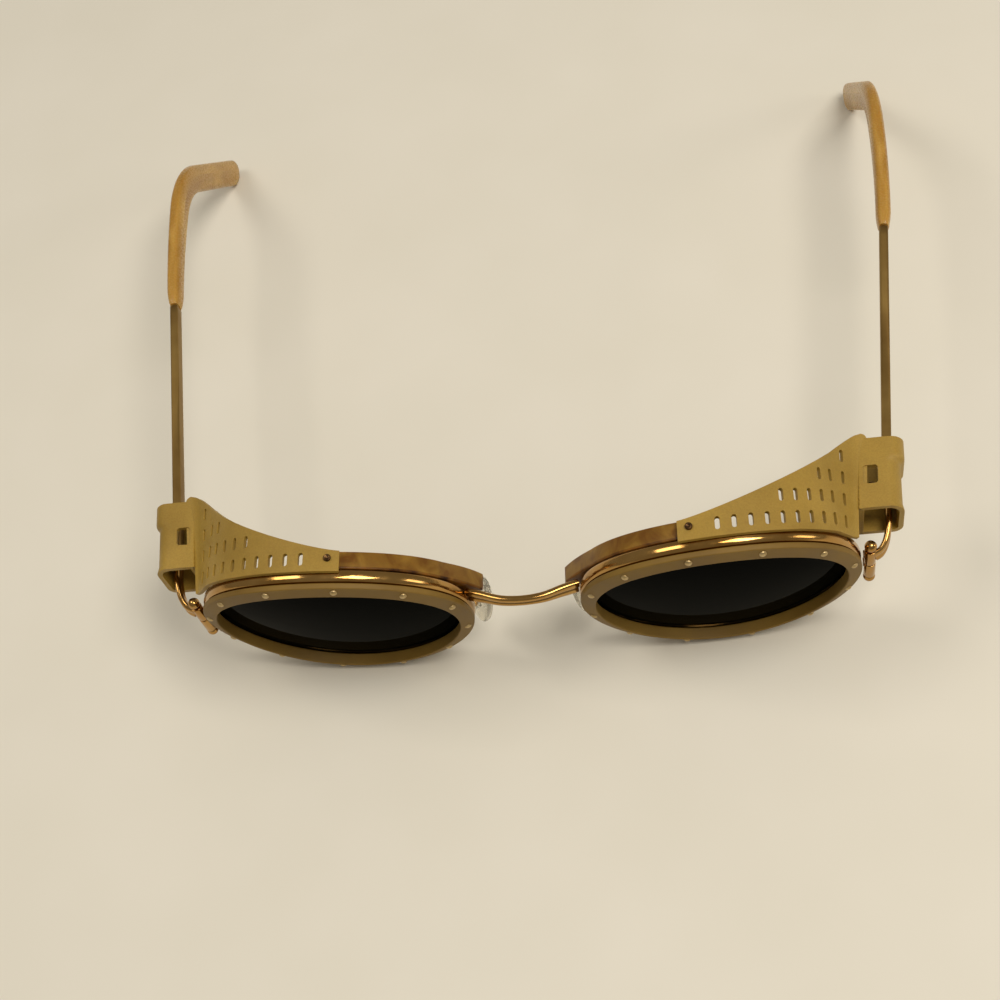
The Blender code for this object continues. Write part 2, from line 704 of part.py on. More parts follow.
def panel_frame(degrees, straight, share):
    """A point of the outer face at a share of its depth, with its normal and two tangents."""
    front = panel_line(degrees, straight, False)
    back = panel_line(degrees, straight, True)
    point = front.lerp(back, share)
    step = (degrees - 1.0, 0.0) if degrees > BEND_ANGLE else (degrees, straight + 0.02)
    beside = panel_line(step[0], step[1], False).lerp(panel_line(step[0], step[1], True), share)
    sideways = (beside - point).normalized()
    lengthways = (back - front).normalized()
    normal = sideways.cross(lengthways).normalized()
    if normal.z < 0.0:
        normal = -normal
    return point, normal, sideways, lengthways


def panel(side):
    """The perforated sheet from the seam to a little inside the sleeve's corner."""
    bends = 12
    columns = [(SEAM_ANGLE - (SEAM_ANGLE - BEND_ANGLE) * i / bends, 0.0) for i in range(bends + 1)]
    columns += [(BEND_ANGLE, share) for share in (0.35, 0.7, 1.04)]
    rings = []
    for degrees, straight in columns:
        ring = []
        for back, depth in ((False, 0.0), (True, 0.0), (True, SHEET), (False, SHEET)):
            point = panel_line(degrees, straight, back)
            _, normal, _, _ = panel_frame(degrees, min(straight, 0.96), 1.0 if back else 0.0)
            ring.append(mirrored(point - normal * depth, side))
        rings.append(ring)
    return skin(rings)


def sleeve_outer_x(run):
    """The sleeve's outer wall at a distance behind its front mouth, flared, with a lip at the back."""
    hinge = hinge_centre()
    step = min(1.0, max(0.0, (run - SLEEVE_LENGTH + LIP_LENGTH) / LIP_HEIGHT / 1.5))
    return hinge.x + SLEEVE_OUTSIDE + SLEEVE_FLARE * run / SLEEVE_LENGTH + LIP_HEIGHT * step


def sleeve(side, inset, margin):
    """The sleeve's outside, or with an inset and a margin at the mouths its bore."""
    hinge = hinge_centre()
    front = hinge.y + SLEEVE_BEHIND_HINGE - SLEEVE_LENGTH
    low = SLEEVE_BOTTOM + inset
    high = SLEEVE_TOP - inset
    top = max(SLEEVE_CORNER - inset, 0.6 * MM)
    heel = max(SLEEVE_HEEL - inset, 0.6 * MM)
    rings = []
    step = SLEEVE_LENGTH - LIP_LENGTH
    for run in (0.0, step, step + 1.5 * LIP_HEIGHT, SLEEVE_LENGTH):
        y = front + run + (margin if run == SLEEVE_LENGTH else 0.0) - (margin if run == 0.0 else 0.0)
        left = crease(front + run).x + inset
        right = sleeve_outer_x(run) - inset
        ring = [Vector((left, y, low)), Vector((left, y, high))]
        for radius, centre_z, first in ((top, high - top, 90.0), (heel, low + heel, 0.0)):
            for i in range(4):
                angle = math.radians(first - 30.0 * i)
                x = right - radius + radius * math.cos(angle)
                ring.append(Vector((x, y, centre_z + radius * math.sin(angle))))
        rings.append([mirrored(point, side) for point in ring])
    return skin(rings)


def window(side):
    """The square hole in the sleeve's top, over the hinge screw."""
    hinge = hinge_centre()
    x = hinge.x - 0.5 * MM
    half = WINDOW_WIDTH / 2
    y = (hinge.y - WINDOW_LENGTH / 2, hinge.y + WINDOW_LENGTH / 2)
    outline = ((x - half, y[0]), (x + half, y[0]), (x + half, y[1]), (x - half, y[1]))
    return plate(outline, SLEEVE_TOP - SLEEVE_WALL - 0.8 * MM, SLEEVE_TOP + 1.0 * MM, side)


def fold_notch(side):
    """The opening in the sleeve's inner wall that the temple folds through."""
    hinge = hinge_centre()
    x = (hinge.x - SLEEVE_INSIDE - 1.6 * MM, hinge.x + 0.5 * MM)
    y = (hinge.y - KNUCKLE_RADIUS - 2.0 * MM, hinge.y + SLEEVE_BEHIND_HINGE + 5.0 * MM)
    outline = ((x[0], y[0]), (x[1], y[0]), (x[1], y[1]), (x[0], y[1]))
    return plate(outline, SLEEVE_BOTTOM + SLEEVE_WALL, KNUCKLE_HIGH + FOLD_GAP, side)


def slot_places():
    """Each slot as (angle along the rim, share out to the crease, distance behind the rim)."""
    places = []
    for i, rows in enumerate((1, 1, 1, 1, 2, 2, 2, 3, 3)):
        for row in range(rows):
            places.append((SLOT_FIRST_ANGLE - SLOT_PITCH * i, 0.0, SLOT_START + SLOT_ROW * row))
    for row in range(4):
        places.append((BEND_ANGLE, 0.42, SLOT_START - SHIELD_FRONT + SLOT_ROW * row))
    return places


def slots(side):
    """All the slots of a panel as round-ended bars square to it."""
    cutters = bmesh.new()
    for degrees, straight, run in slot_places():
        front = panel_line(degrees, straight, False)
        back = panel_line(degrees, straight, True)
        share = (run - SHIELD_FRONT if straight == 0.0 else run) / (back.y - front.y)
        point, normal, sideways, lengthways = panel_frame(degrees, straight, share)
        ring = []
        for end, first in ((1, 0.0), (-1, math.pi)):
            for i in range(4):
                angle = first + math.pi * i / 3
                ring.append((SLOT_WIDTH / 2 * math.cos(angle),
                             SLOT_WIDTH / 2 * math.sin(angle) + end * (SLOT_LENGTH - SLOT_WIDTH) / 2))
        rings = []
        for height in (0.7 * MM, -SHEET - 0.7 * MM):
            rings.append([mirrored(point + normal * height + sideways * a + lengthways * b, side)
                          for a, b in ring])
        merge(cutters, skin(rings))
    return cutters


def rivet_axis(side):
    """Where the shield is riveted to the brow guard, midway along their overlap."""
    degrees = (SEAM_ANGLE + 3 * GUARD_FIRST_ANGLE) / 4 + 4.5
    back = Vector((0.0, RIVET_DEPTH, 0.0))
    low = rim_point(side, degrees, 0.0, 0.0) + back
    high = rim_point(side, degrees, SHIELD_INNER, 0.0) + back
    return low, (high - low).normalized()


def shield_rivet(side):
    low, axis = rivet_axis(side)
    inner = GUARD_INSET - CLEARANCE
    outer = SHIELD_OUTER + CLEARANCE
    head = PIN_RADIUS + 0.35 * MM
    profile = ((0.0, inner - 0.35 * MM), (head, inner - 0.35 * MM), (head, inner), (PIN_RADIUS, inner),
               (PIN_RADIUS, outer), (head, outer), (0.8 * head, outer + 0.3 * MM), (0.0, outer + 0.4 * MM))
    return turned(profile, low, axis, 10)


# Nose pads

def pad_frame(side):
    """The pad's axle: its middle, the way the pad faces, its long axis and its width axis."""
    root = arm_root(side)
    centre = root + Vector((side * PAD_OUT, PAD_BACK, -PAD_DROP))
    face = Vector((-0.80 * side, 0.50, -0.33)).normalized()
    length = (UP - face * face.z).normalized()
    return centre, face, length, length.cross(face).normalized()


def arm_root(side):
    return rim_point(side, 187.0, WIRE_INNER + WIRE_WIDTH / 2, -WIRE_REAR - CLEARANCE)


def pad_arm(side):
    """Thin wire from the back of the rim, out and round to the small axle that holds the pad."""
    centre, face, length, _ = pad_frame(side)
    root = arm_root(side)
    knots = [root, root.lerp(centre, 0.3) + Vector((side * 0.3 * MM, 0.9 * MM, 1.0 * MM)),
             root.lerp(centre, 0.7) + Vector((side * 1.7 * MM, 1.6 * MM, 1.2 * MM)),
             centre - face * 2.6 * MM + Vector((0.0, 0.9 * MM, 0.2 * MM)), centre - face * 0.3 * MM]
    section = [(ARM_RADIUS * math.cos(math.pi / 3 * i), ARM_RADIUS * math.sin(math.pi / 3 * i))
               for i in range(6)]
    return swept(smooth_path(knots, 14), section, length)


def pad_axle(side):
    centre, _, length, _ = pad_frame(side)
    return turned(((PAD_AXLE, -PAD_AXLE), (PAD_AXLE, PAD_AXLE)), centre, length, 10)


def nose_pad(side):
    """The oval plate that lies on the nose."""
    centre, face, length, width = pad_frame(side)
    middle = centre + face * (PAD_AXLE + 0.5 * MM + PAD_THICKNESS / 2)
    rings = []
    for scale, level in ((0.82, -0.5), (1.0, -0.1), (0.97, 0.2), (0.72, 0.5)):
        ring = []
        for i in range(16):
            angle = 2 * math.pi * i / 16
            along = scale * PAD_LENGTH / 2 * math.cos(angle)
            across = scale * PAD_WIDTH / 2 * math.sin(angle) * (1 - 0.12 * math.cos(angle))
            ring.append(middle + length * along + width * across + face * (level * PAD_THICKNESS))
        rings.append(ring)
    return skin(rings)


def pad_ear(side, end):
    """One of the two ears that hold the axle between them."""
    centre, face, length, width = pad_frame(side)
    inner = PAD_AXLE + CLEARANCE
    radius = 0.9 * PAD_AXLE
    outline = [(radius * math.cos(math.pi * i / 5), -radius * math.sin(math.pi * i / 5)) for i in range(6)]
    root = PAD_AXLE + 0.5 * MM + PAD_THICKNESS / 3
    outline += [(-radius, root), (radius, root)]
    return skin([[centre + length * (end * level) + width * w + face * f for w, f in outline]
                 for level in (inner, inner + PAD_EAR)])


def stand(front):
    """Move the whole so that the origin is under the middle of its bounding box."""
    bpy.context.view_layer.update()
    graph = bpy.context.evaluated_depsgraph_get()
    corners = []
    for obj in bpy.data.objects:
        if obj.type == "MESH" and not obj.hide_render:
            solid = obj.evaluated_get(graph)
            corners += [solid.matrix_world @ vert.co for vert in solid.data.vertices]
    low = [min(corner[axis] for corner in corners) for axis in range(3)]
    high = [max(corner[axis] for corner in corners) for axis in range(3)]
    front.location -= Vector(((low[0] + high[0]) / 2, (low[1] + high[1]) / 2, low[2]))


def build():
    clear_scene()
    gold = material("polished_gold", (0.83, 0.60, 0.36), 0.16, 1.0)
    satin_gold = material("satin_gold", (0.72, 0.55, 0.32), 0.30, 1.0)
    pale_gold = material("pale_gold", (0.86, 0.70, 0.46), 0.22, 1.0)
    dark_steel = material("dark_steel", (0.16, 0.11, 0.06), 0.35, 1.0)
    smoke = material("smoke_lens", (0.02, 0.028, 0.022), 0.05)
    trim_tan = material("tan_trim", (0.46, 0.30, 0.14), 0.45)
    shield_tan = material("tan_shield", (0.50, 0.33, 0.13), 0.55)
    amber = material("amber_acetate", (0.30, 0.13, 0.04), 0.22)
    caramel = material("caramel_acetate", (0.62, 0.30, 0.10), 0.30)
    clear = material("clear_pad", (0.80, 0.78, 0.70), 0.25)

    front = pivot("front", Vector((0.0, 0.0, 0.0)))
    stud = stud_mesh(pale_gold)
    tail = resting_tail()
    middle = bridge_path()[9]
    span = place("bridge", bridge(), middle, gold, front)

    for side, word in ((-1, "right"), (1, "left")):
        centre = lens_point(side, 0.0, 0.0, 0.0)
        place(word + "_lens", lens(side), centre, smoke, front)
        place(word + "_eyewire", eyewire(side), centre, gold, front)
        place(word + "_trim_ring", trim_ring(side), centre, trim_tan, front)
        for i in range(STUD_COUNT):
            degrees = STUD_FIRST_ANGLE + 360.0 * i / STUD_COUNT
            place_stud("%s_stud_%02d" % (word, i + 1), stud, side, degrees, front)

        low, axis = rivet_axis(side)
        rivet_hole = operand(word + "_rivet_hole", turned(
            ((BORE_RADIUS, -0.2 * MM), (BORE_RADIUS, SHIELD_OUTER + 1.5 * MM)), low, axis, 10), front)
        guard = place(word + "_brow_guard", brow_guard(side), low, amber, front)
        boolean(guard, rivet_hole, "DIFFERENCE")
        shield = place(word + "_side_shield", panel(side), low, shield_tan, front, smooth=False)
        join(shield, front, sleeve(side, 0.0, 0.0))
        cut(shield, front, sleeve(side, SLEEVE_WALL, 1.5 * MM), window(side), fold_notch(side), slots(side))
        boolean(shield, rivet_hole, "DIFFERENCE")
        place(word + "_shield_rivet", shield_rivet(side), low, dark_steel, front)

        lock = mirrored(lock_centre(), side)
        hinge = mirrored(hinge_centre(), side)
        end_piece = place(word + "_end_piece", strap(side), lock, gold, front)
        join(end_piece, front, column(lock_centre(), LOCK_RADIUS, CLEARANCE / 2, LOCK_HALF, side),
             lock_tab(side, 0.6 * MM, 0.5 * LOCK_HALF))
        for foot in (KNUCKLE_LOW, KNUCKLE_HIGH - KNUCKLE_HEIGHT):
            top = foot + KNUCKLE_HEIGHT
            join(end_piece, front, column(hinge_centre(), KNUCKLE_RADIUS, foot, top, side),
                 hinge_web(side, foot, top, True))
        cut(end_piece, front, column(lock_centre(), BORE_RADIUS, -1.0 * MM, LOCK_HALF + 1.0 * MM, side, 12),
            column(hinge_centre(), BORE_RADIUS, KNUCKLE_LOW - 1.0 * MM, KNUCKLE_HIGH + 1.0 * MM, side, 12))
        block = place(word + "_lock_block", lock_block(side), lock, gold, front)
        join(block, front, lock_tab(side, -0.5 * LOCK_HALF, -0.6 * MM))
        cut(block, front, column(lock_centre(), BORE_RADIUS, -0.82 * LOCK_HALF, 1.0 * MM, side, 12))
        place(word + "_closing_screw", closing_screw(side), lock, gold, front)
        place(word + "_hinge_screw", hinge_screw(side), hinge, dark_steel, front)

        fold = pivot(word + "_temple_fold", hinge, front)
        temple = place(word + "_temple", blade(side), hinge, satin_gold, fold)
        foot = TEMPLE_Z - TONGUE_HEIGHT / 2
        top = TEMPLE_Z + TONGUE_HEIGHT / 2
        join(temple, front, column(hinge_centre(), KNUCKLE_RADIUS, foot, top, side),
             hinge_web(side, foot, top, False), core(side, -3.0 * MM, CORE_LENGTH, 0.0))
        cut(temple, front, column(hinge_centre(), BORE_RADIUS, foot - 1.0 * MM, top + 1.0 * MM, side, 12))
        tip = place(word + "_temple_tip", temple_tip(side, tail), hinge, caramel, fold)
        cut(tip, front, core(side, -1.0 * MM, CORE_LENGTH + 2.0 * MM, CLEARANCE))

        axle, _, _, _ = pad_frame(side)
        arm = place(word + "_pad_arm", pad_arm(side), axle, gold, front)
        join(arm, front, pad_axle(side))
        rock = pivot(word + "_pad_rock", axle, front)
        pad = place(word + "_nose_pad", nose_pad(side), axle, clear, rock)
        join(pad, front, pad_ear(side, -1), pad_ear(side, 1))

    stand(front)


build()
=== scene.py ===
"""Oval wire-rim sunglasses with studded trim rings and perforated side shields.

The file goes round the glasses in the order in which a maker puts them together: wire rims,
lenses, trim rings, bridge, brow guards, side shields, rim locks, hinges, temples, nose pads.
Lengths are in millimetres in the glasses' own frame: X to the wearer's left, -Y forwards out of
the lenses, Z up, counted from the point midway between the two lens centres.
"""

import math

import bmesh
import bpy
import numpy as np
from mathutils import Matrix, Vector
from mathutils.geometry import delaunay_2d_cdt


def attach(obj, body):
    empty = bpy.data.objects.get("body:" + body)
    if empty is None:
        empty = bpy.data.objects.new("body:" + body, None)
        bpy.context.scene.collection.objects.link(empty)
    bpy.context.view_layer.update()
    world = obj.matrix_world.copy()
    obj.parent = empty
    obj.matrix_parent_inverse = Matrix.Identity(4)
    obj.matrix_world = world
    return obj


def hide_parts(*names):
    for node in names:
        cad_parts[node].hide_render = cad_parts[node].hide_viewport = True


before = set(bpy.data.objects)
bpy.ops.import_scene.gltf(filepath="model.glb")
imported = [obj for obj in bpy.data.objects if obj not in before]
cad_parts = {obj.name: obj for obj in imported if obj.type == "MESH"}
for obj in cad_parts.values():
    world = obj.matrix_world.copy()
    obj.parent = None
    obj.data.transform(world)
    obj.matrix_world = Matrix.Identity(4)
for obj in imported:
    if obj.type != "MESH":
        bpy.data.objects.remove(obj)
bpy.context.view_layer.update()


# ---------------------------------------------------------------------------------------------
# Eyewires
# Two oval rims bent from broad wire, nearly flat outside with rounded corners, and with a V
# groove inside that grips the lens. Nickel silver, plated with polished rose gold; each is split
# at its outer end, where the rim lock closes it.

MIDDLE = np.array((0.0, -70.164, 24.5873))
SIDES = (("right", -1), ("left", 1))
GAP = 0.3
LENS_HALF_SPACING = 37.4
RIM_HALF_WIDTH = 25.3
RIM_HALF_HEIGHT = 23.4
RIM_WRAP = math.radians(3.0)
RIM_TILT = math.radians(8.0)
RIM_CURVE_RADIUS = 164.0
RIM_SPLIT = 0.5
WIRE_INNER = 0.05
WIRE_WIDTH = 1.45
WIRE_OUTER = WIRE_INNER + WIRE_WIDTH
WIRE_BACK = 2.5
WIRE_FRONT = -0.8
WIRE_REAR = -3.45
GROOVE = 0.48


def on_lens_plane(side, across, rise, depth):
    """Points from a lens's middle: across to its outer side, up its plane, and forwards.

    The plane leans forwards by the tilt and turns outwards by the wrap. Depth loses across
    squared over twice the curve's radius, which bends the rim back towards the temple.
    """
    across, rise, depth = np.broadcast_arrays(across, rise, depth)
    forwards = np.array((side * math.sin(RIM_WRAP), -math.cos(RIM_WRAP), 0.0))
    outwards = np.array((side * math.cos(RIM_WRAP), math.sin(RIM_WRAP), 0.0))
    upwards = np.array((0.0, 0.0, 1.0))
    leaning = upwards * math.cos(RIM_TILT) + forwards * math.sin(RIM_TILT)
    normal = forwards * math.cos(RIM_TILT) - upwards * math.sin(RIM_TILT)
    bent = depth - across ** 2 / (2 * RIM_CURVE_RADIUS)
    return (np.array((side * LENS_HALF_SPACING, 0.0, 0.0)) + across[..., None] * outwards
            + rise[..., None] * leaning + bent[..., None] * normal)


def beside_rim(side, degrees, radial, depth):
    """Points near a rim: on an ellipse at an angle, moved square to it and forwards."""
    degrees, radial = np.broadcast_arrays(np.asarray(degrees, float), radial)
    cosine, sine = np.cos(np.radians(degrees)), np.sin(np.radians(degrees))
    square = np.hypot(RIM_HALF_HEIGHT * cosine, RIM_HALF_WIDTH * sine)
    across = RIM_HALF_WIDTH * cosine + radial * RIM_HALF_HEIGHT * cosine / square
    rise = RIM_HALF_HEIGHT * sine + radial * RIM_HALF_WIDTH * sine / square
    return on_lens_plane(side, across, rise, depth)


def corners_of(values):
    """The four neighbouring entries round each cell of a grid."""
    return np.stack([values[:-1, :-1], values[:-1, 1:], values[1:, 1:], values[1:, :-1]], axis=2)


def skin(grid, ring):
    """Closed skin over a grid of points: its points, faces and a map of lengths in mm.

    Neighbours along and around are joined by four-sided faces, and around always closes. Along
    closes too for a ring; otherwise one face closes each end. The faces are turned outwards
    when the volume that they enclose comes out negative.
    """
    rows, columns = grid.shape[:2]
    lengths = []
    for axis in (0, 1):
        looped = np.concatenate([grid, grid.take([0], axis)], axis=axis)
        steps = np.linalg.norm(np.diff(looped, axis=axis), axis=2).mean(axis=1 - axis)
        lengths.append(np.r_[0.0, np.cumsum(steps)])
    line = np.arange(rows + 1 if ring else rows)
    number = (line[:, None] % rows) * columns + np.arange(columns + 1) % columns
    spots = np.stack(np.broadcast_arrays(lengths[0][line][:, None], lengths[1]), axis=-1)
    quads = corners_of(number).reshape(-1, 4)
    faces, spread = list(quads), list(corners_of(spots).reshape(-1, 4, 2))
    if not ring:
        faces += [number[0, :-1][::-1], number[-1, :-1]]
        spread += [spots[0, :-1][::-1], spots[-1, :-1]]
    points = grid.reshape(-1, 3)
    a, b, c, d = np.moveaxis(points[quads] - points.mean(axis=0), 1, 0)
    if np.sum(a * (np.cross(b, c) + np.cross(c, d))) < 0.0:
        faces, spread = [face[::-1] for face in faces], [face[::-1] for face in spread]
    return points, faces, spread


def fit(mesh, material, body, nodes, crisp, edge, rounds=2, wall=0.0):
    """Make a mesh a piece that rides on a body in place of CAD nodes.

    Edges sharper than crisp degrees stay sharp, or are rounded where an edge radius is given. A
    wall thickens a sheet inwards before that.
    """
    mesh.shade_smooth()
    mesh.set_sharp_from_angle(angle=math.radians(crisp))
    mesh.materials.append(material)
    made = bpy.data.objects.new(mesh.name, mesh)
    bpy.context.collection.objects.link(made)
    if wall > 0.0:
        solid = made.modifiers.new("wall", "SOLIDIFY")
        solid.thickness = wall * 0.001
        solid.offset = -1.0
    if edge > 0.0:
        bevel = made.modifiers.new("rounded edges", "BEVEL")
        bevel.width = edge * 0.001
        bevel.segments = rounds
        bevel.limit_method = "ANGLE"
        bevel.angle_limit = math.radians(crisp)
        bevel.harden_normals = True
    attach(made, body)
    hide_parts(*nodes)


def piece(name, grids, material, body, nodes, crisp=35.0, edge=0.0, ring=False):
    """Make one piece of the closed skins over one or more grids."""
    skins = [skin(np.asarray(grid, float), ring) for grid in grids]
    points = np.concatenate([part[0] for part in skins])
    shift = np.cumsum([0] + [len(part[0]) for part in skins])
    faces = [(face + start).tolist() for part, start in zip(skins, shift) for face in part[1]]
    mesh = bpy.data.meshes.new(name)
    mesh.from_pydata(((points + MIDDLE) * 0.001).tolist(), [], faces)
    spread = np.concatenate([spots for part in skins for spots in part[2]])
    mesh.uv_layers.new(name="lengths").uv.foreach_set("vector", spread.ravel())
    fit(mesh, material, body, nodes, crisp, edge)


def colour(code):
    """Linear red, green, blue and alpha of an sRGB hex value."""
    parts = [int(code[i:i + 2], 16) / 255 for i in (1, 3, 5)]
    return (*[c / 12.92 if c <= 0.04045 else ((c + 0.055) / 1.055) ** 2.4 for c in parts], 1.0)


def add(tree, kind, values=None, links=None, **settings):
    """Add a node to a material: settings are its properties, values its inputs' numbers, and
    links the sockets that feed its inputs."""
    made = tree.nodes.new("ShaderNode" + kind)
    for key, value in settings.items():
        setattr(made, key, value)
    for key, value in (values or {}).items():
        made.inputs[key].default_value = value
    for key, socket in (links or {}).items():
        tree.links.new(socket, made.inputs[key])
    return made


def finish(name, values):
    """A new material, its node tree and its texture places, with its shader's numbers set."""
    material = bpy.data.materials.new(name)
    material.use_nodes = True
    tree = material.node_tree
    for key, value in values.items():
        tree.nodes["Principled BSDF"].inputs[key].default_value = value
    return material, tree, add(tree, "TexCoord").outputs


def feed(tree, sockets):
    """Feed the shader's inputs from other nodes' sockets."""
    for key, socket in sockets.items():
        tree.links.new(socket, tree.nodes["Principled BSDF"].inputs[key])


def noise(tree, places, size, **values):
    """Cloudy noise from 0 to 1 with features about size mm across."""
    values["Scale"] = 1000 / size
    return add(tree, "TexNoise", values, {"Vector": places}).outputs["Fac"]


def ramp(tree, share, *stops):
    """The colour at a share from 0 to 1 along a ramp's stops, each a place and a colour.

    The white stops at 1 lie beyond nearly all of the noise.
    """
    made = add(tree, "ValToRGB", links={"Fac": share})
    ends = made.color_ramp.elements
    while len(ends) < len(stops):
        ends.new(1.0)
    for end, (place, code) in zip(ends, stops):
        end.position, end.color = place, colour(code)
    return made.outputs["Color"]


def span(tree, value, low, high, start=0.0, stop=1.0):
    """A value carried from start and stop to low and high, and held there beyond them."""
    ends = {"From Min": start, "From Max": stop, "To Min": low, "To Max": high}
    return add(tree, "MapRange", ends, {"Value": value}).outputs["Result"]


def relief(tree, height, strength, depth):
    """The normal over bumps that stand up to depth mm high."""
    sizes = {"Strength": strength, "Distance": depth * 0.001}
    return add(tree, "Bump", sizes, {"Height": height}).outputs["Normal"]


# Polished rose-gold plate over nickel silver: a mirror with a warm body colour. The plate is a
# little thicker and redder in places, and buffing leaves haze in patches of about 2 mm and
# swirls 0.3 mm apart, drawn coarser than the real ones so that they show.
rose_gold, tree, places = finish("rose gold plate", {"Metallic": 1.0})
plate = noise(tree, places["Object"], 7.0, Detail=3.0)
haze = noise(tree, places["Object"], 2.0, Detail=4.0, Roughness=0.6)
swirls = noise(tree, places["Object"], 0.3, Detail=1.0, Distortion=1.5)
feed(tree, {"Base Color": ramp(tree, plate, (0.3, "#A47A3E"), (0.8, "#C09A5E"), (1.0, "#FFFFFF")),
            "Roughness": span(tree, haze, 0.09, 0.21, 0.3, 0.75),
            "Normal": relief(tree, swirls, 0.05, 0.02)})


def eyewire_section(steps=30):
    """Outside, from the front face round to the back one, then the V groove.

    The outside is a superellipse: the angle's cosine to the power 0.55 by its sine to 0.85.
    """
    angle = np.linspace(math.pi / 2, -math.pi / 2, steps)
    radial = WIRE_INNER + WIRE_WIDTH * np.abs(np.cos(angle)) ** 0.55
    rise = np.sign(np.sin(angle)) * np.abs(np.sin(angle)) ** 0.85
    depth = (WIRE_FRONT + WIRE_REAR + (WIRE_FRONT - WIRE_REAR) * rise) / 2
    groove = ((WIRE_INNER, -WIRE_BACK - GROOVE), (WIRE_INNER + GROOVE, -WIRE_BACK),
              (WIRE_INNER, -WIRE_BACK + GROOVE))
    return np.concatenate([np.stack([radial, depth], axis=-1), groove])


for word, side in SIDES:
    section = eyewire_section()
    split = math.degrees(RIM_SPLIT / 2 / RIM_HALF_WIDTH)
    degrees = np.linspace(split, 360.0 - split, 289)
    rim = beside_rim(side, degrees[:, None], section[:, 0], section[:, 1])
    piece(word + "_wire_rim", [rim], rose_gold, "front", [word + "_eyewire"])


# ---------------------------------------------------------------------------------------------
# Lenses
# Domed plates of dark grey-green tinted polyamide, 1.6 mm thick, with a bevel round the edge.
# Cast and hard coated, and snapped into the rims' grooves before the locks are closed.

LENS_HALF_THICKNESS = 0.8
LENS_DOME = 1.5
LENS_EDGE = -0.4

# Tinted polyamide: nearly all the light that enters is absorbed, and its antireflection coating,
# which the low IOR stands for, leaves only a faint sheen, so it looks black. It is a shade
# darker at the top, and faint wipe marks about 9 mm wide change the gloss a little.
tinted_lens, tree, places = finish("grey-green tinted polyamide", {
    "IOR": 1.03, "Transmission Weight": 0.15})
height = add(tree, "SeparateXYZ", links={"Vector": places["Object"]}).outputs["Z"]
tint = span(tree, height, 0.0, 1.0, 0.002, 0.048)
wipes = noise(tree, places["Object"], 9.0, Detail=5.0, Distortion=2.0)
feed(tree, {"Base Color": ramp(tree, tint, (0.0, "#080A07"), (1.0, "#030403")),
            "Roughness": span(tree, wipes, 0.02, 0.09, 0.35, 0.8)})


def lens_face(side, shares, level):
    """Rings of a lens's surface: an ellipse at each share of the lens's size, raised in the
    middle by the dome times one less the share squared."""
    turn = np.radians(np.linspace(0.0, 360.0, 192, endpoint=False))
    share = shares[:, None]
    return on_lens_plane(side, share * (RIM_HALF_WIDTH + LENS_EDGE) * np.cos(turn),
                         share * (RIM_HALF_HEIGHT + LENS_EDGE) * np.sin(turn),
                         level - WIRE_BACK + LENS_DOME * (1 - share ** 2))


for word, side in SIDES:
    half = LENS_HALF_THICKNESS
    shares = np.r_[0.004, np.linspace(0.06, 0.97, 18)]
    turn = np.linspace(0.0, 360.0, 192, endpoint=False)
    radial = LENS_EDGE + np.array((0.0, 0.0, GROOVE, 0.0, 0.0))[:, None]
    depth = np.array((half, GROOVE, 0.0, -GROOVE, -half))[:, None] - WIRE_BACK
    lens = np.concatenate([lens_face(side, shares, half), beside_rim(side, turn, radial, depth),
                           lens_face(side, shares[::-1], -half)])
    piece(word + "_lens_plate", [lens], tinted_lens, "front", [word + "_lens"],
          crisp=30.0)


# ---------------------------------------------------------------------------------------------
# Trim rings and their studs
# An oval ring of tan nylon on the front of each rim, moulded with a face that slopes back to
# its outer edge, and pressed over the wire. Twelve low domed brass studs are pinned into it.

TRIM_HALF = 1.38
TRIM_FRONT = 1.25
TRIM_OUTER_FRONT = 0.5
TRIM_CORNER = 0.3
TRIM_REAR = 1.25
TRIM_STEP = 0.7
TRIM_CHAMFER = 0.2
SKIRT_OUTER = -0.12
SKIRT_CHAMFER = 0.13
STUD_COUNT = 12
STUD_FIRST = 12.0
STUD_OUT = 0.1
STUD_SINK = 0.05
STUD_RADIUS = 0.7
STUD_RIM = 0.08
STUD_HEIGHT = 0.45

# Tan nylon, satin from a blasted mould: the colour drifts over about 12 mm, a fine grain of
# 0.25 mm breaks up the highlight, and patches that fingers touch are a little smoother.
trim_nylon, tree, places = finish("satin tan nylon", {
    "Specular IOR Level": 0.35, "Subsurface Weight": 0.08, "Subsurface Radius": (0.6, 0.35, 0.15),
    "Subsurface Scale": 0.001})
drift = noise(tree, places["Object"], 12.0, Detail=3.0)
grain = noise(tree, places["Object"], 0.25, Detail=2.0, Roughness=0.6)
feed(tree, {"Base Color": ramp(tree, drift, (0.3, "#6F541C"), (0.75, "#856829"), (1.0, "#FFFFFF")),
            "Roughness": span(tree, drift, 0.5, 0.64, 0.3, 0.7),
            "Normal": relief(tree, grain, 0.25, 0.04)})

# Pale gold on brass studs, dulled in specks under a millimetre wide.
stud_gold, tree, places = finish("pale gold brass studs", {"Metallic": 1.0})
tarnish = noise(tree, places["Object"], 0.8, Detail=3.0)
feed(tree, {"Base Color": ramp(tree, tarnish, (0.32, "#B09768"), (0.7, "#C8B388")),
            "Roughness": span(tree, tarnish, 0.32, 0.5)})


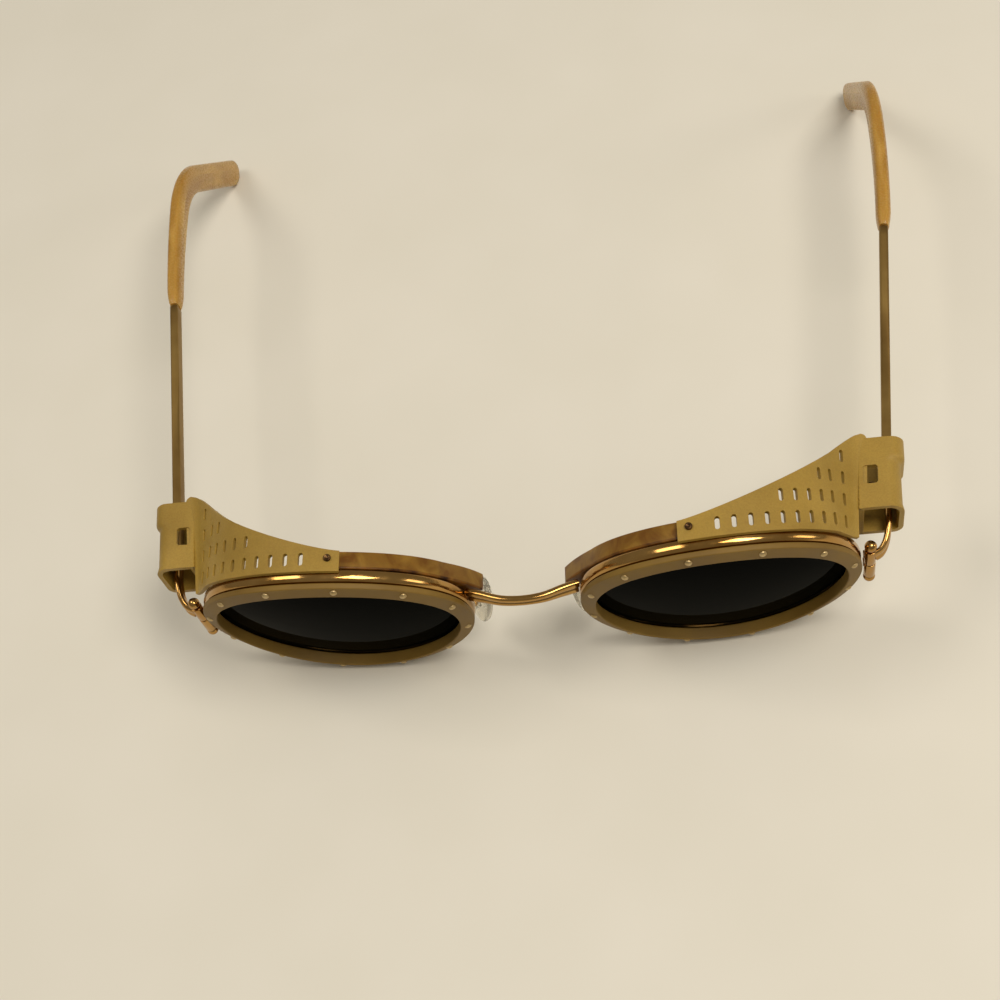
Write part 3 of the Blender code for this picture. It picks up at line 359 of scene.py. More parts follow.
def trim_section(steps=8):
    """A sloping front face between quarter-circle corners and straight sides; behind, a skirt
    inside the wire, and a step outside it where the wire stands."""
    angle = np.linspace(0.0, math.pi / 2, steps)
    outer = np.stack([TRIM_CORNER * np.cos(angle) + TRIM_HALF - TRIM_CORNER,
                      TRIM_CORNER * (np.sin(angle) - 1.0)], axis=-1)
    inner = outer[::-1] * (-1.0, 1.0)
    foot = ((-TRIM_HALF, -TRIM_REAR + TRIM_CHAMFER), (-TRIM_HALF + TRIM_CHAMFER, -TRIM_REAR),
            (SKIRT_OUTER - SKIRT_CHAMFER, -TRIM_REAR), (SKIRT_OUTER, -TRIM_REAR + SKIRT_CHAMFER),
            (SKIRT_OUTER, -TRIM_STEP), (TRIM_HALF - TRIM_CHAMFER, -TRIM_STEP),
            (TRIM_HALF, -TRIM_STEP + TRIM_CHAMFER))
    return np.concatenate([outer + (0.0, TRIM_OUTER_FRONT), inner + (0.0, TRIM_FRONT), foot])


def studs_on_rim(side, profile, steps=20):
    """Grids of the studs: a (radius, height) profile turned round the sloping face's normal
    at even angles along the rim."""
    flat = TRIM_HALF - TRIM_CORNER
    slope = math.atan2(TRIM_FRONT - TRIM_OUTER_FRONT, 2 * flat)
    level = TRIM_OUTER_FRONT + (flat - STUD_OUT) * math.tan(slope) - STUD_SINK
    around = STUD_FIRST + 360.0 * np.arange(STUD_COUNT) / STUD_COUNT
    seat = beside_rim(side, around, STUD_OUT, level)
    axis = beside_rim(side, around, STUD_OUT + math.sin(slope), level + math.cos(slope)) - seat
    first = np.cross(axis, (0.0, 0.0, 1.0))
    first /= np.linalg.norm(first, axis=1)[:, None]
    turn = np.linspace(0.0, 2 * math.pi, steps, endpoint=False)[:, None]
    ring = np.cos(turn) * first[:, None] + np.sin(turn) * np.cross(axis, first)[:, None]
    radius, rise = np.asarray(profile).T[..., None, None]
    return seat[:, None, None] + radius * ring[:, None] + rise * axis[:, None, None]


for word, side in SIDES:
    section = trim_section()
    turn = np.linspace(0.0, 360.0, 288, endpoint=False)
    trim = beside_rim(side, turn[:, None], section[:, 0], section[:, 1])
    piece(word + "_trim", [trim], trim_nylon, "front", [word + "_trim_ring"],
          crisp=40.0, ring=True)
    latitude = np.radians(np.linspace(8.0, 89.5, 8))
    dome = [(STUD_RADIUS, 0.0), (STUD_RADIUS, STUD_RIM)]
    dome += list(zip(STUD_RADIUS * np.cos(latitude), STUD_HEIGHT * np.sin(latitude)))
    names = ["%s_stud_%02d" % (word, i + 1) for i in range(STUD_COUNT)]
    piece(word + "_studs", studs_on_rim(side, dome), stud_gold, "front", names)


# ---------------------------------------------------------------------------------------------
# Bridge
# An arched bar with two round ribs, one above the other, swaged lower in the middle and brazed
# to both rims. Plated like them.

BRIDGE_ANGLE = 168.0
BRIDGE_HEIGHT = 3.5
BRIDGE_MIDDLE_HEIGHT = 2.5
BRIDGE_THICKNESS = 1.5
BRIDGE_WEB = 0.35
BRIDGE_RISE = 1.6
BRIDGE_FORWARD = 3.0
BRIDGE_SET_FORWARD = 0.2


def curve_through(knots, count):
    """Points at even steps along a curve through knots: between two of them a cubic whose end
    slopes are half the way between the knots on either side."""
    knots = np.asarray(knots, float)
    ends = np.vstack([2 * knots[0] - knots[1], knots, 2 * knots[-1] - knots[-2]])
    t = np.linspace(0.0, len(knots) - 1.0, count + 1)
    k = np.minimum(t.astype(int), len(knots) - 2)
    t = (t - k)[:, None]
    a, b, c, d = ends[k], ends[k + 1], ends[k + 2], ends[k + 3]
    return 0.5 * (2 * b + (c - a) * t + (2 * a - 5 * b + 4 * c - d) * t ** 2
                  + (3 * b - a - 3 * c + d) * t ** 3)


def carried(path, section, up=(0.0, 0.0, 1.0)):
    """Grid of a section carried along a path: each point of the path plus the section's
    across and upward distances along two directions square to the path there."""
    ahead = np.gradient(path, axis=0)
    ahead /= np.linalg.norm(ahead, axis=1)[:, None]
    across = np.cross(up, ahead)
    across /= np.linalg.norm(across, axis=1)[:, None]
    upwards = np.cross(ahead, across)
    return path[:, None] + section[..., :1] * across[:, None] + section[..., 1:] * upwards[:, None]


def ribbed_section(height, thickness, web, steps=48):
    """Two round ribs and the web between them: at each height the half width is the rib's
    circle to the power 0.8, or the web where that is wider."""
    angle = np.linspace(0.0, 2 * math.pi, steps, endpoint=False)
    rise = height / 2 * np.sin(angle)
    offset = (np.abs(rise) - height / 4) / (height / 4)
    width = thickness / 2 * np.sqrt(np.clip(1 - offset ** 2, 0.0, 1.0)) ** 0.8
    width = np.where(np.abs(rise) < height / 4, np.maximum(width, web * thickness / 2), width)
    return np.stack([np.sign(np.cos(angle)) * width, rise], axis=-1)


def bar_section(width, height, radius, steps=4):
    """A rectangle with quarter-circle corners."""
    angle = np.linspace(0.0, math.pi / 2, steps + 1) + math.pi / 2 * np.arange(4)[:, None]
    inner = (width / 2 - radius, height / 2 - radius)
    corner = np.array(((1, 1), (-1, 1), (-1, -1), (1, -1))) * inner
    arc = np.stack([np.cos(angle), np.sin(angle)], axis=-1)
    return (corner[:, None] + radius * arc).reshape(-1, 2)


bridge_end = beside_rim(1, BRIDGE_ANGLE, WIRE_OUTER + 1.5 * GAP, -WIRE_BACK)
arch = np.array(((-1.0, 0.0, 0.0), (-0.72, 0.37, 0.4), (-0.38, 0.83, 0.8), (0.0, 1.0, 1.0),
                 (0.38, 0.83, 0.8), (0.72, 0.37, 0.4), (1.0, 0.0, 0.0)))
knots = arch * (bridge_end[0], -BRIDGE_FORWARD, BRIDGE_RISE)
knots += (0.0, bridge_end[1] - BRIDGE_SET_FORWARD, bridge_end[2] - BRIDGE_HEIGHT / 4)
bridge_line = curve_through(knots, 108)
# Its height grows from the middle by the square of the distance, until a fifth short of the ends
outwards = np.minimum(1.0, 1.25 * np.abs(bridge_line[:, 0] / bridge_end[0])) ** 2
lower = 1.0 - BRIDGE_MIDDLE_HEIGHT / BRIDGE_HEIGHT
taper = np.stack([0.9 + 0.1 * outwards, 1.0 - (1.0 - outwards) * lower], axis=-1)
bar = ribbed_section(BRIDGE_HEIGHT, BRIDGE_THICKNESS, BRIDGE_WEB) * taper[:, None]
piece("nose_bridge", [carried(bridge_line, bar)], rose_gold, "front", ["bridge"])


# ---------------------------------------------------------------------------------------------
# Brow guards
# A strip behind the nose side of each rim that keeps light out over the brow. Cut from mottled
# amber acetate, bent warm to the rim's oval and riveted to the side shield. Its outer face is
# painted a lighter tan, a painted highlight for the light that falls on its top.

GUARD_INSET = 0.4
GUARD_THICKNESS = 1.3
GUARD_WIDTH = 3.57
GUARD_FRONT = 3.53
GUARD_CORNER = 0.28
GUARD_FIRST = 92.0
GUARD_LAST = 150.0
GUARD_PAST_LAST = 30.0
GUARD_RUN = 11.2
GUARD_SET_BACK = 1.5

# Mottled amber acetate: satin and translucent, orange-brown with darker clouds of about 5 mm.
# The outer face, picked out by the map's distance round the strip, is painted a lighter tan: a
# painted highlight for the light on the strip's top, while the faces turned away keep the amber.
amber_acetate, tree, places = finish("mottled amber acetate", {
    "IOR": 1.48, "Specular IOR Level": 0.22, "Subsurface Weight": 0.25,
    "Subsurface Radius": (1.0, 0.35, 0.1), "Subsurface Scale": 0.0015})
clouds = noise(tree, places["Object"], 5.0, Detail=4.0, Distortion=0.8)
scuffs = noise(tree, places["Object"], 0.5, Detail=3.0)
amber = ramp(tree, clouds, (0.34, "#2E1405"), (0.75, "#926320"), (1.0, "#FFFFFF"))
# Painted highlight: the lighter tan given to the lit outer face
painted_highlight_tan = ramp(tree, clouds, (0.36, "#6B4514"), (0.72, "#95722C"), (1.0, "#FFFFFF"))
round_strip = add(tree, "SeparateXYZ", links={"Vector": places["UV"]}).outputs["Y"]
on_lit_face = add(tree, "Math", links={0: span(tree, round_strip, 0.0, 1.0, 0.3, 0.36),
                                    1: span(tree, round_strip, 1.0, 0.0, 4.14, 4.2)},
               operation="MULTIPLY").outputs["Value"]
# The painted highlight on the outer face, mixed with the amber on the other faces
highlight_mix = add(tree, "Mix", links={0: on_lit_face, 6: amber, 7: painted_highlight_tan}, data_type="RGBA")
feed(tree, {"Base Color": highlight_mix.outputs[2], "Roughness": span(tree, clouds, 0.3, 0.46),
            "Normal": relief(tree, scuffs, 0.08, 0.04)})


def along_guard(side, degrees, radial, back):
    """Points of a guard, radial from the rim and back from its plane.

    Past the last angle its outer edge runs on straight and draws back by a quarter of a sine
    wave, while its inner edge stays behind the wire, so that the strip thickens to a wedge.
    """
    angle = np.minimum(degrees, GUARD_LAST)
    share = (degrees - angle) / GUARD_PAST_LAST
    outer = beside_rim(side, angle, GUARD_INSET + GUARD_THICKNESS, 0.0)
    step = outer - beside_rim(side, angle - 2.0, GUARD_INSET + GUARD_THICKNESS, 0.0)
    run = step / np.linalg.norm(step, axis=-1)[..., None] * (GUARD_RUN * share)[..., None]
    run[..., 1] = GUARD_SET_BACK * np.sin(math.pi / 2 * share)
    outer += run
    behind = angle + share * math.degrees(GUARD_RUN / RIM_HALF_HEIGHT)
    inner = beside_rim(side, behind, GUARD_INSET, 0.0)
    through = outer - inner
    thick = np.linalg.norm(through, axis=-1)
    depth = radial - GUARD_INSET
    part = np.where(depth < GUARD_THICKNESS / 2, depth / thick,
                    1 - (GUARD_THICKNESS - depth) / thick)
    point = inner + through * part[..., None]
    point[..., 1] += back
    return point


for word, side in SIDES:
    stations = np.r_[GUARD_FIRST + 0.05, np.linspace(GUARD_FIRST + 0.4, GUARD_LAST, 64),
                     GUARD_LAST + np.linspace(1.5, GUARD_PAST_LAST - 0.6, 18),
                     GUARD_LAST + GUARD_PAST_LAST - 0.05]
    # The map starts at the strip's outer front edge, and both ends are drawn in a little
    strip = np.roll(bar_section(GUARD_THICKNESS, GUARD_WIDTH, GUARD_CORNER, 5), 3, axis=0)
    shrink = np.ones((len(stations), 1))
    shrink[[0, -1]] = 0.8
    radial = GUARD_INSET + GUARD_THICKNESS / 2 + strip[:, 0] * shrink
    back = GUARD_FRONT + GUARD_WIDTH / 2 + strip[:, 1] * (0.4 + 0.6 * shrink)
    guard = along_guard(side, *np.broadcast_arrays(stations[:, None], radial, back))
    piece(word + "_guard", [guard], amber_acetate, "front",
          [word + "_brow_guard"], crisp=50.0)


# ---------------------------------------------------------------------------------------------
# Side shields
# A perforated panel that wraps over each rim and widens to a box sleeve round the hinge, with
# a square hole over the hinge screw. One moulding of tan nylon, matt from a textured mould.

SHEET = 0.9
SHIELD_OUTER = 2.9
SHIELD_FRONT = 2.6
SEAM_ANGLE = 104.0
BEND_ANGLE = 38.0
SEAM_DEPTH = 6.8
SIDE_DEPTH = 19.4
PANEL_AHEAD_OF_HINGE = 12.7
PANEL_PAST_SLEEVE = 1.2
PANEL_CORNER = 1.6
PANEL_BEHIND_MOUTH = 0.35
SLOT_LENGTH = 2.6
SLOT_WIDTH = 0.9
SLOT_PITCH = 6.2
SLOT_FIRST = 89.2
SLOT_START = 2.6
SLOT_ROW = 4.6
LAST_SLOTS_STATION = 1.42
HINGE = np.array((67.22, 16.84, 5.0))
HINGE_FOOT = HINGE * (1.0, 1.0, 0.0)
SLEEVE_WALL = 1.0
SLEEVE_LENGTH = 15.0
SLEEVE_BEHIND_HINGE = 7.9
SLEEVE_INSIDE = 3.4
SLEEVE_OUTSIDE = 4.7
SLEEVE_FLARE = 1.2
LIP_HEIGHT = 0.8
LIP_LENGTH = 5.2
BEAD_HEIGHT = 0.3
BEAD_LENGTH = 1.6
SLEEVE_SLOPE = 0.0933
SLEEVE_BOTTOM = 1.8
SLEEVE_TOP = 12.1
SLEEVE_CORNER = 3.0
SLEEVE_HEEL = 2.0
WINDOW_WIDTH = 2.8
WINDOW_LENGTH = 3.9
WINDOW_CORNER = 0.6
WINDOW_INWARDS = 0.5
NOTCH_TOP = 8.4
NOTCH_AHEAD = 3.15
NOTCH_CORNER = 0.8
FILLET = 1.8
SLEEVE_FRONT = HINGE[1] + SLEEVE_BEHIND_HINGE - SLEEVE_LENGTH

# Matt tan nylon: light sinks in a little at the thin edges of the slots. The colour drifts over
# about 15 mm, the mould's texture is 0.35 mm, and handling has polished it in soft patches.
shield_nylon, tree, places = finish("matt tan nylon", {
    "Subsurface Weight": 0.12, "Subsurface Radius": (0.9, 0.5, 0.2), "Subsurface Scale": 0.001})
drift = noise(tree, places["Object"], 15.0, Detail=4.0, Roughness=0.55)
texture = noise(tree, places["Object"], 0.35, Detail=2.0, Roughness=0.65)
tan = ramp(tree, drift, (0.3, "#967829"), (0.72, "#AD8D3A"), (1.0, "#FFFFFF"))
specks = ramp(tree, texture, (0.35, "#DED8CE"), (0.65, "#FFFFFF"))
speckled = add(tree, "Mix", {0: 0.5}, {6: tan, 7: specks}, data_type="RGBA", blend_type="MULTIPLY")
feed(tree, {"Base Color": speckled.outputs[2],
            "Roughness": span(tree, drift, 0.58, 0.42, 0.35, 0.7),
            "Normal": relief(tree, texture, 0.3, 0.05)})


def crease(y):
    """The line where the panel meets the sleeve: along the sleeve's upper inner corner, and
    ahead of its mouth inwards by 0.14 and down by 0.2 of the way."""
    ahead = np.maximum(SLEEVE_FRONT - y, 0.0)
    behind = np.maximum(y - SLEEVE_FRONT, 0.0)
    x = HINGE[0] - SLEEVE_INSIDE - 0.14 * ahead + SLEEVE_SLOPE * behind
    return np.stack([x, y, SLEEVE_TOP - 0.2 * ahead], axis=-1)


def panel_edge(station, back):
    """The panel's front or back edge. Station 0 to 1 follows the rim from the seam to the bend,
    where the back edge draws away by the power 1.4, and 1 to 2 goes straight out to the crease."""
    share = np.minimum(station, 1.0)
    straight = np.maximum(station - 1.0, 0.0)[..., None]
    edge = beside_rim(1, SEAM_ANGLE - (SEAM_ANGLE - BEND_ANGLE) * share, SHIELD_OUTER, 0.0)
    edge[..., 1] += SEAM_DEPTH + (SIDE_DEPTH - SEAM_DEPTH) * share ** 1.4 if back else SHIELD_FRONT
    end = SLEEVE_BEHIND_HINGE + PANEL_PAST_SLEEVE if back else -PANEL_AHEAD_OF_HINGE
    y = edge[..., 1] + (HINGE[1] + end - edge[..., 1]) * straight[..., 0]
    edge[..., 1] = y
    return edge + (crease(y) - edge) * straight


def evenly(outline, spacing):
    """Points at even spacing round a loop of corners, each corner kept."""
    starts = np.asarray(outline, float)
    steps = np.roll(starts, -1, axis=0) - starts
    counts = np.maximum(np.round(np.linalg.norm(steps, axis=1) / spacing).astype(int), 1)
    which = np.repeat(np.arange(len(counts)), counts)
    share = (np.arange(len(which)) - (np.cumsum(counts) - counts)[which]) / counts[which]
    return starts[which] + steps[which] * share[:, None]


def covered(points, starts, ends):
    """Whether each point is in the material: a line from it crosses the loops' sides an odd
    number of times."""
    x, y = points[:, :1], points[:, 1:]
    crosses = (starts[:, 1] > y) != (ends[:, 1] > y)
    rise = np.where(ends[:, 1] == starts[:, 1], 1.0, ends[:, 1] - starts[:, 1])
    crossing = starts[:, 0] + (y - starts[:, 1]) * (ends[:, 0] - starts[:, 0]) / rise
    return (crosses & (x < crossing)).sum(axis=1) % 2 == 1


def cut_sheet(loops, spacing):
    """A flat sheet with holes, as points and triangles.

    The loops' own points and a staggered lattice that keeps off them are joined by a
    constrained Delaunay triangulation; triangles whose middles lie in a hole are dropped.
    """
    starts = np.concatenate(loops)
    ends = np.concatenate([np.roll(loop, -1, axis=0) for loop in loops])
    low, high = starts.min(axis=0), starts.max(axis=0)
    columns = np.arange(low[0], high[0], spacing)
    rows = np.arange(low[1], high[1], spacing * 0.866)
    lattice = np.stack(np.meshgrid(columns, rows, indexing="ij"), axis=-1)
    lattice[:, 1::2, 0] += spacing / 2
    lattice = lattice.reshape(-1, 2)
    sides = ends - starts
    share = np.einsum("ijk,jk->ij", lattice[:, None] - starts, sides) / (sides ** 2).sum(axis=1)
    nearest = starts + np.clip(share, 0.0, 1.0)[..., None] * sides
    clear = np.linalg.norm(lattice[:, None] - nearest, axis=2).min(axis=1) > 0.5 * spacing
    lattice = lattice[clear & covered(lattice, starts, ends)]
    edges, first = [], 0
    for loop in loops:
        count = len(loop)
        edges += [(first + i, first + (i + 1) % count) for i in range(count)]
        first += count
    corners = [Vector(point) for point in np.concatenate([starts, lattice]).tolist()]
    points, _, triangles, *_ = delaunay_2d_cdt(corners, edges, [], 0, 1e-5)
    points, triangles = np.array([tuple(point) for point in points]), np.array(triangles)
    return points, triangles[covered(points[triangles].mean(axis=1), starts, ends)]


def sheet_piece(word, part, flat, triangles, bend, side, wall, edge):
    """Bend a flat sheet into place, weld it where it meets itself, and give it its wall inwards,
    with rounded edges. On the mirrored side its triangles run the other way round."""
    triangles = triangles[:, (0, side, -side)]
    mesh = bpy.data.meshes.new(word + "_shield_" + part)
    placed = (bend(flat) * (side, 1.0, 1.0) + MIDDLE) * 0.001
    mesh.from_pydata(placed.tolist(), [], triangles.tolist())
    mesh.uv_layers.new(name="lengths").uv.foreach_set("vector", flat[triangles].ravel())
    bm = bmesh.new()
    bm.from_mesh(mesh)
    bmesh.ops.remove_doubles(bm, verts=bm.verts, dist=0.000002)
    bm.to_mesh(mesh)
    bm.free()
    fit(mesh, shield_nylon, "front", [word + "_side_shield"], 50.0, edge, 3, wall)


# The panel lies flat as distance from the seam, measured along a line three tenths of the way
# back, by distance behind its front edge.
stations = np.linspace(0.0, 2.0, 801)
front_edge, back_edge = panel_edge(stations, False), panel_edge(stations, True)
measured = front_edge + (back_edge - front_edge) * 0.3
panel_run = np.r_[0.0, np.cumsum(np.linalg.norm(np.diff(measured, axis=0), axis=1))]
panel_depth = back_edge[:, 1] - front_edge[:, 1]
on_crease = panel_run[-1]


def bend_panel(flat):
    """Flat panel to its place: the run picks the station, and the distance behind the front
    edge is carried from that edge towards the back one.

    Over the last FILLET before the crease and the same length past it on the sleeve's top, the
    sheet follows a parabola, whose control point is on the crease.
    """
    share = (flat[:, 1] / np.interp(flat[:, 0], panel_run, panel_depth))[:, None]

    def between_edges(station):
        start = panel_edge(station, False)
        return start + (panel_edge(station, True) - start) * share

    t = np.clip((flat[:, 0] - on_crease + FILLET) / (2 * FILLET), 0.0, 1.0)[:, None]
    station = np.interp(np.minimum(flat[:, 0], on_crease - FILLET), panel_run, stations)
    before = between_edges(station)
    corner = between_edges(np.full(len(flat), 2.0)) + (0.0, 0.0, 0.03)
    past = corner + (FILLET, 0.0, 0.0)
    return (1 - t) ** 2 * before + 2 * t * (1 - t) * corner + t ** 2 * past


# One to three slots at even angles round the rim, and four in the last row by the crease
rows_at = [((SEAM_ANGLE - SLOT_FIRST + SLOT_PITCH * i) / (SEAM_ANGLE - BEND_ANGLE), rows)
           for i, rows in enumerate((1, 1, 1, 1, 2, 2, 2, 3, 3))] + [(LAST_SLOTS_STATION, 4)]
half_turn = np.linspace(0.0, math.pi, 8)
arc = SLOT_WIDTH / 2 * np.stack([np.cos(half_turn), np.sin(half_turn)], axis=-1)
reach = (0.0, (SLOT_LENGTH - SLOT_WIDTH) / 2)
slot_shape = np.concatenate([arc + reach, -arc - reach])
slots = [evenly(slot_shape + (np.interp(at, stations, panel_run), SLOT_START + SLOT_ROW * row), 0.4)
         for at, rows in rows_at for row in range(rows)]
run = np.linspace(0.0, on_crease - 0.6, 90)
back_line = np.stack([run, np.interp(run, panel_run, panel_depth)], axis=-1)
quarter = np.linspace(math.pi / 2, 0.0, 8)[1:, None]
rear_corner = (np.array((on_crease + FILLET, panel_depth[-1])) - PANEL_CORNER
               + PANEL_CORNER * np.concatenate([np.cos(quarter), np.sin(quarter)], axis=1))
mouth = SLEEVE_FRONT + PANEL_BEHIND_MOUTH - front_edge[-1, 1]
outline = np.concatenate([back_line, rear_corner, [(on_crease + FILLET, mouth), (on_crease, mouth),
                                                   (on_crease, 0.0), (0.0, 0.0)]])
panel_flat, panel_triangles = cut_sheet([evenly(outline, 0.5)] + slots, 0.55)

# The sleeve lies flat as distance round it, from its lower inner corner up, by distance from
# its front mouth. A window is cut in its top and a notch for the folding temple in its inner wall.
HEIGHT_RUN = SLEEVE_TOP - SLEEVE_BOTTOM
TOP_RUN = SLEEVE_INSIDE + SLEEVE_OUTSIDE - SLEEVE_CORNER
legs = np.array((HEIGHT_RUN, TOP_RUN, math.pi / 2 * SLEEVE_CORNER,
                 HEIGHT_RUN - SLEEVE_CORNER - SLEEVE_HEEL, math.pi / 2 * SLEEVE_HEEL,
                 SLEEVE_INSIDE + SLEEVE_OUTSIDE - SLEEVE_HEEL))
turns = np.r_[0.0, np.cumsum(legs)]


def smooth_step(share):
    """From 0 to 1 by three times the share squared less twice its cube, level at both ends."""
    share = np.clip(share, 0.0, 1.0)
    return share ** 2 * (3 - 2 * share)


def sleeve_outside(y):
    """How far out the sleeve's outer wall is: straight and flared, with a bead round the front
    mouth and a smooth step out to a lip at the back."""
    return (HINGE[0] + SLEEVE_OUTSIDE + SLEEVE_FLARE * y / SLEEVE_LENGTH
            + LIP_HEIGHT * smooth_step((y - SLEEVE_LENGTH + LIP_LENGTH) / (1.5 * LIP_HEIGHT))
            + BEAD_HEIGHT * smooth_step(1.0 - y / BEAD_LENGTH))


def bend_sleeve(flat):
    """Flat sleeve to its place: up the inner wall, out along the top, round a quarter circle,
    down the outer wall, round another and back along the bottom."""
    y = flat[:, 1]
    leg = np.clip(np.searchsorted(turns, flat[:, 0], side="right") - 1, 0, 5)
    share = (flat[:, 0] - turns[leg]) / legs[leg]
    sine, cosine = np.sin(share * math.pi / 2), np.cos(share * math.pi / 2)
    inner, outer = crease(SLEEVE_FRONT + y)[:, 0], sleeve_outside(y)
    top, heel = outer - SLEEVE_CORNER, outer - SLEEVE_HEEL
    high, low = SLEEVE_TOP - SLEEVE_CORNER, SLEEVE_BOTTOM + SLEEVE_HEEL
    x = np.choose(leg, [inner, inner + (top - inner) * share, top + SLEEVE_CORNER * sine, outer,
                        heel + SLEEVE_HEEL * cosine, heel + (inner - heel) * share])
    z = np.choose(leg, [SLEEVE_BOTTOM + HEIGHT_RUN * share, SLEEVE_TOP,
                        high + SLEEVE_CORNER * cosine, high + (low - high) * share,
                        low - SLEEVE_HEEL * sine, SLEEVE_BOTTOM])
    return np.stack([x, SLEEVE_FRONT + y, z], axis=-1)


hinge_at = HINGE[1] - SLEEVE_FRONT
top_start = crease(HINGE[1])[0]
top_end = sleeve_outside(hinge_at) - SLEEVE_CORNER
window_share = (HINGE[0] - WINDOW_INWARDS - top_start) / (top_end - top_start)
window_out = turns[1] + window_share * TOP_RUN
window = bar_section(WINDOW_WIDTH, WINDOW_LENGTH, WINDOW_CORNER, 5) + (window_out, hinge_at)
low, high, start = SLEEVE_WALL, NOTCH_TOP - SLEEVE_BOTTOM, hinge_at - NOTCH_AHEAD
blank = [(turn, 0.0) for turn in turns] + [(turn, SLEEVE_LENGTH) for turn in turns[:0:-1]]
blank += [(high, SLEEVE_LENGTH), (high, start + NOTCH_CORNER), (high - NOTCH_CORNER, start),
          (low + NOTCH_CORNER, start), (low, start + NOTCH_CORNER), (low, SLEEVE_LENGTH),
          (0.0, SLEEVE_LENGTH)]
sleeve_flat, sleeve_triangles = cut_sheet([evenly(blank, 0.5), evenly(window, 0.4)], 0.5)

for word, side in SIDES:
    sheet_piece(word, "panel", panel_flat, panel_triangles, bend_panel, side, SHEET, 0.12)
    sheet_piece(word, "sleeve", sleeve_flat, sleeve_triangles, bend_sleeve, side,
                SLEEVE_WALL, 0.25)


# ---------------------------------------------------------------------------------------------
# Shield rivets
# One small rivet on each side ties the shield's seam to the brow guard. Steel, blackened in
# oil, with its outer head set by a punch so that it is slightly dished.

RIVET_ANGLE = 99.5
RIVET_DEPTH = 5.2
RIVET_SHANK = 0.5
RIVET_HEAD = 0.7

# Oil-blackened steel: dark brown-black, with a thin brassy wear on what stands proud and fine
# turning marks 0.15 mm apart.
black_steel, tree, places = finish("oil-blackened steel", {"Metallic": 1.0})
wear = noise(tree, places["Object"], 0.6, Detail=4.0)
turning = noise(tree, places["Object"], 0.15, Detail=1.0)
feed(tree, {"Base Color": ramp(tree, wear, (0.35, "#3A2A1C"), (0.8, "#8D6B45"), (1.0, "#FFFFFF")),
            "Roughness": span(tree, wear, 0.28, 0.5), "Normal": relief(tree, turning, 0.15, 0.02)})


def turned(profile, centre, axis=(0.0, 0.0, 1.0), steps=40):
    """Grid of a turned part: each (radius, height) pair swept round an axis. A radius of 0 is
    drawn as a few thousandths of a millimetre, so that the end face closes the pole."""
    axis = np.asarray(axis) / np.linalg.norm(axis)
    first = np.cross(axis, (1.0, 0.0, 0.0) if abs(axis[0]) < 0.9 else (0.0, 1.0, 0.0))
    first /= np.linalg.norm(first)
    turn = np.linspace(0.0, 2 * math.pi, steps, endpoint=False)[:, None]
    ring = np.cos(turn) * first + np.sin(turn) * np.cross(axis, first)
    radius, height = np.asarray(profile).T[..., None, None]
    return centre + np.maximum(radius, 0.004) * ring + height * axis


for word, side in SIDES:
    foot, top = beside_rim(side, RIVET_ANGLE, np.array((0.0, 2.0)), 0.0) + (0.0, RIVET_DEPTH, 0.0)
    inner, outer, head = GUARD_INSET - GAP, SHIELD_OUTER + GAP, RIVET_HEAD
    profile = [(0.0, inner - 0.35), (0.8 * head, inner - 0.35), (head, inner - 0.2), (head, inner),
               (RIVET_SHANK, inner), (RIVET_SHANK, outer - 0.25), (head, outer - 0.2),
               (head, outer + 0.12), (0.9 * head, outer + 0.28), (0.7 * head, outer + 0.36),
               (0.5 * head, outer + 0.33), (0.3 * head, outer + 0.22), (0.0, outer + 0.18)]
    piece(word + "_rivet", [turned(profile, foot, top - foot)], black_steel, "front",
          [word + "_shield_rivet"])


# ---------------------------------------------------------------------------------------------
# Rim locks and end pieces
# Each rim's split ends carry half a barrel, the lower one with a ball under it. A ball-headed
# screw down through both closes the rim on its lens. The upper half carries a ribbed strap that
# curves out and back into the sleeve. All rose-gold plated.

LOCK = np.array((65.52, 4.84, 0.0))
LOCK_RADIUS = 1.1
LOCK_HALF = 4.7
BALL = 1.15
SCREW_SHANK = 0.5
KNUCKLE = 1.15
KNUCKLE_HEIGHT = 0.95
KNUCKLE_LOW = 3.1
KNUCKLE_HIGH = 6.9
TEMPLE_OFFSET = 2.7
TEMPLE_BUTT = 0.75
STRAP_HEIGHT = 3.5
STRAP_THICKNESS = 1.2
STRAP_WEB = 0.6
TAB_FOOT = 0.6
PLATED_EDGE = 0.06


def ball(middle, start, steps=14):
    """Profile of a ball from a starting latitude in degrees up to its top."""
    latitude = np.radians(np.linspace(start, 90.0, steps))
    return list(zip(BALL * np.cos(latitude), middle + BALL * np.sin(latitude)))


def barrel(radius, low, high, corner=0.12):
    """Profile of an upright barrel with rounded rims."""
    arc = [(radius - corner * (1 - math.cos(a)), corner * (1 - math.sin(a)))
           for a in np.linspace(0.0, math.pi / 2, 5)]
    return ([(0.0, low)] + [(x, low + z) for x, z in arc[::-1]]
            + [(x, high - z) for x, z in arc] + [(0.0, high)])


def upright_plate(outline, low, high):
    """Grid of a flat plate standing between two heights over its plan."""
    return np.array([[(x, y, z) for x, y in outline] for z in (low, high)])


def lock_tab(low, high):
    """The plate that ties half of the barrel to the end of the rim."""
    x, y, _ = beside_rim(1, 0.0, WIRE_OUTER, -WIRE_BACK)
    near = x + GAP + 0.1
    return upright_plate(((near, y - 0.8), (near, y + 0.15),
                          (LOCK[0], LOCK[1] + 0.85 * LOCK_RADIUS),
                          (LOCK[0], LOCK[1] - 0.5 * LOCK_RADIUS)), low, high)


def knuckle(foot, height, near, far):
    """A hinge knuckle, and its plate from beside the pin out to the strap or the temple; near
    and far are the plate's two edges there, as distances behind the pin."""
    reach = TEMPLE_OFFSET - 0.1
    plan = np.array(((0.2, near[0]), (0.2, near[1]), (reach, far[0]), (reach, far[1]))) + HINGE[:2]
    return [turned(barrel(KNUCKLE, foot, foot + height), HINGE_FOOT),
            upright_plate(plan, foot, foot + height)]


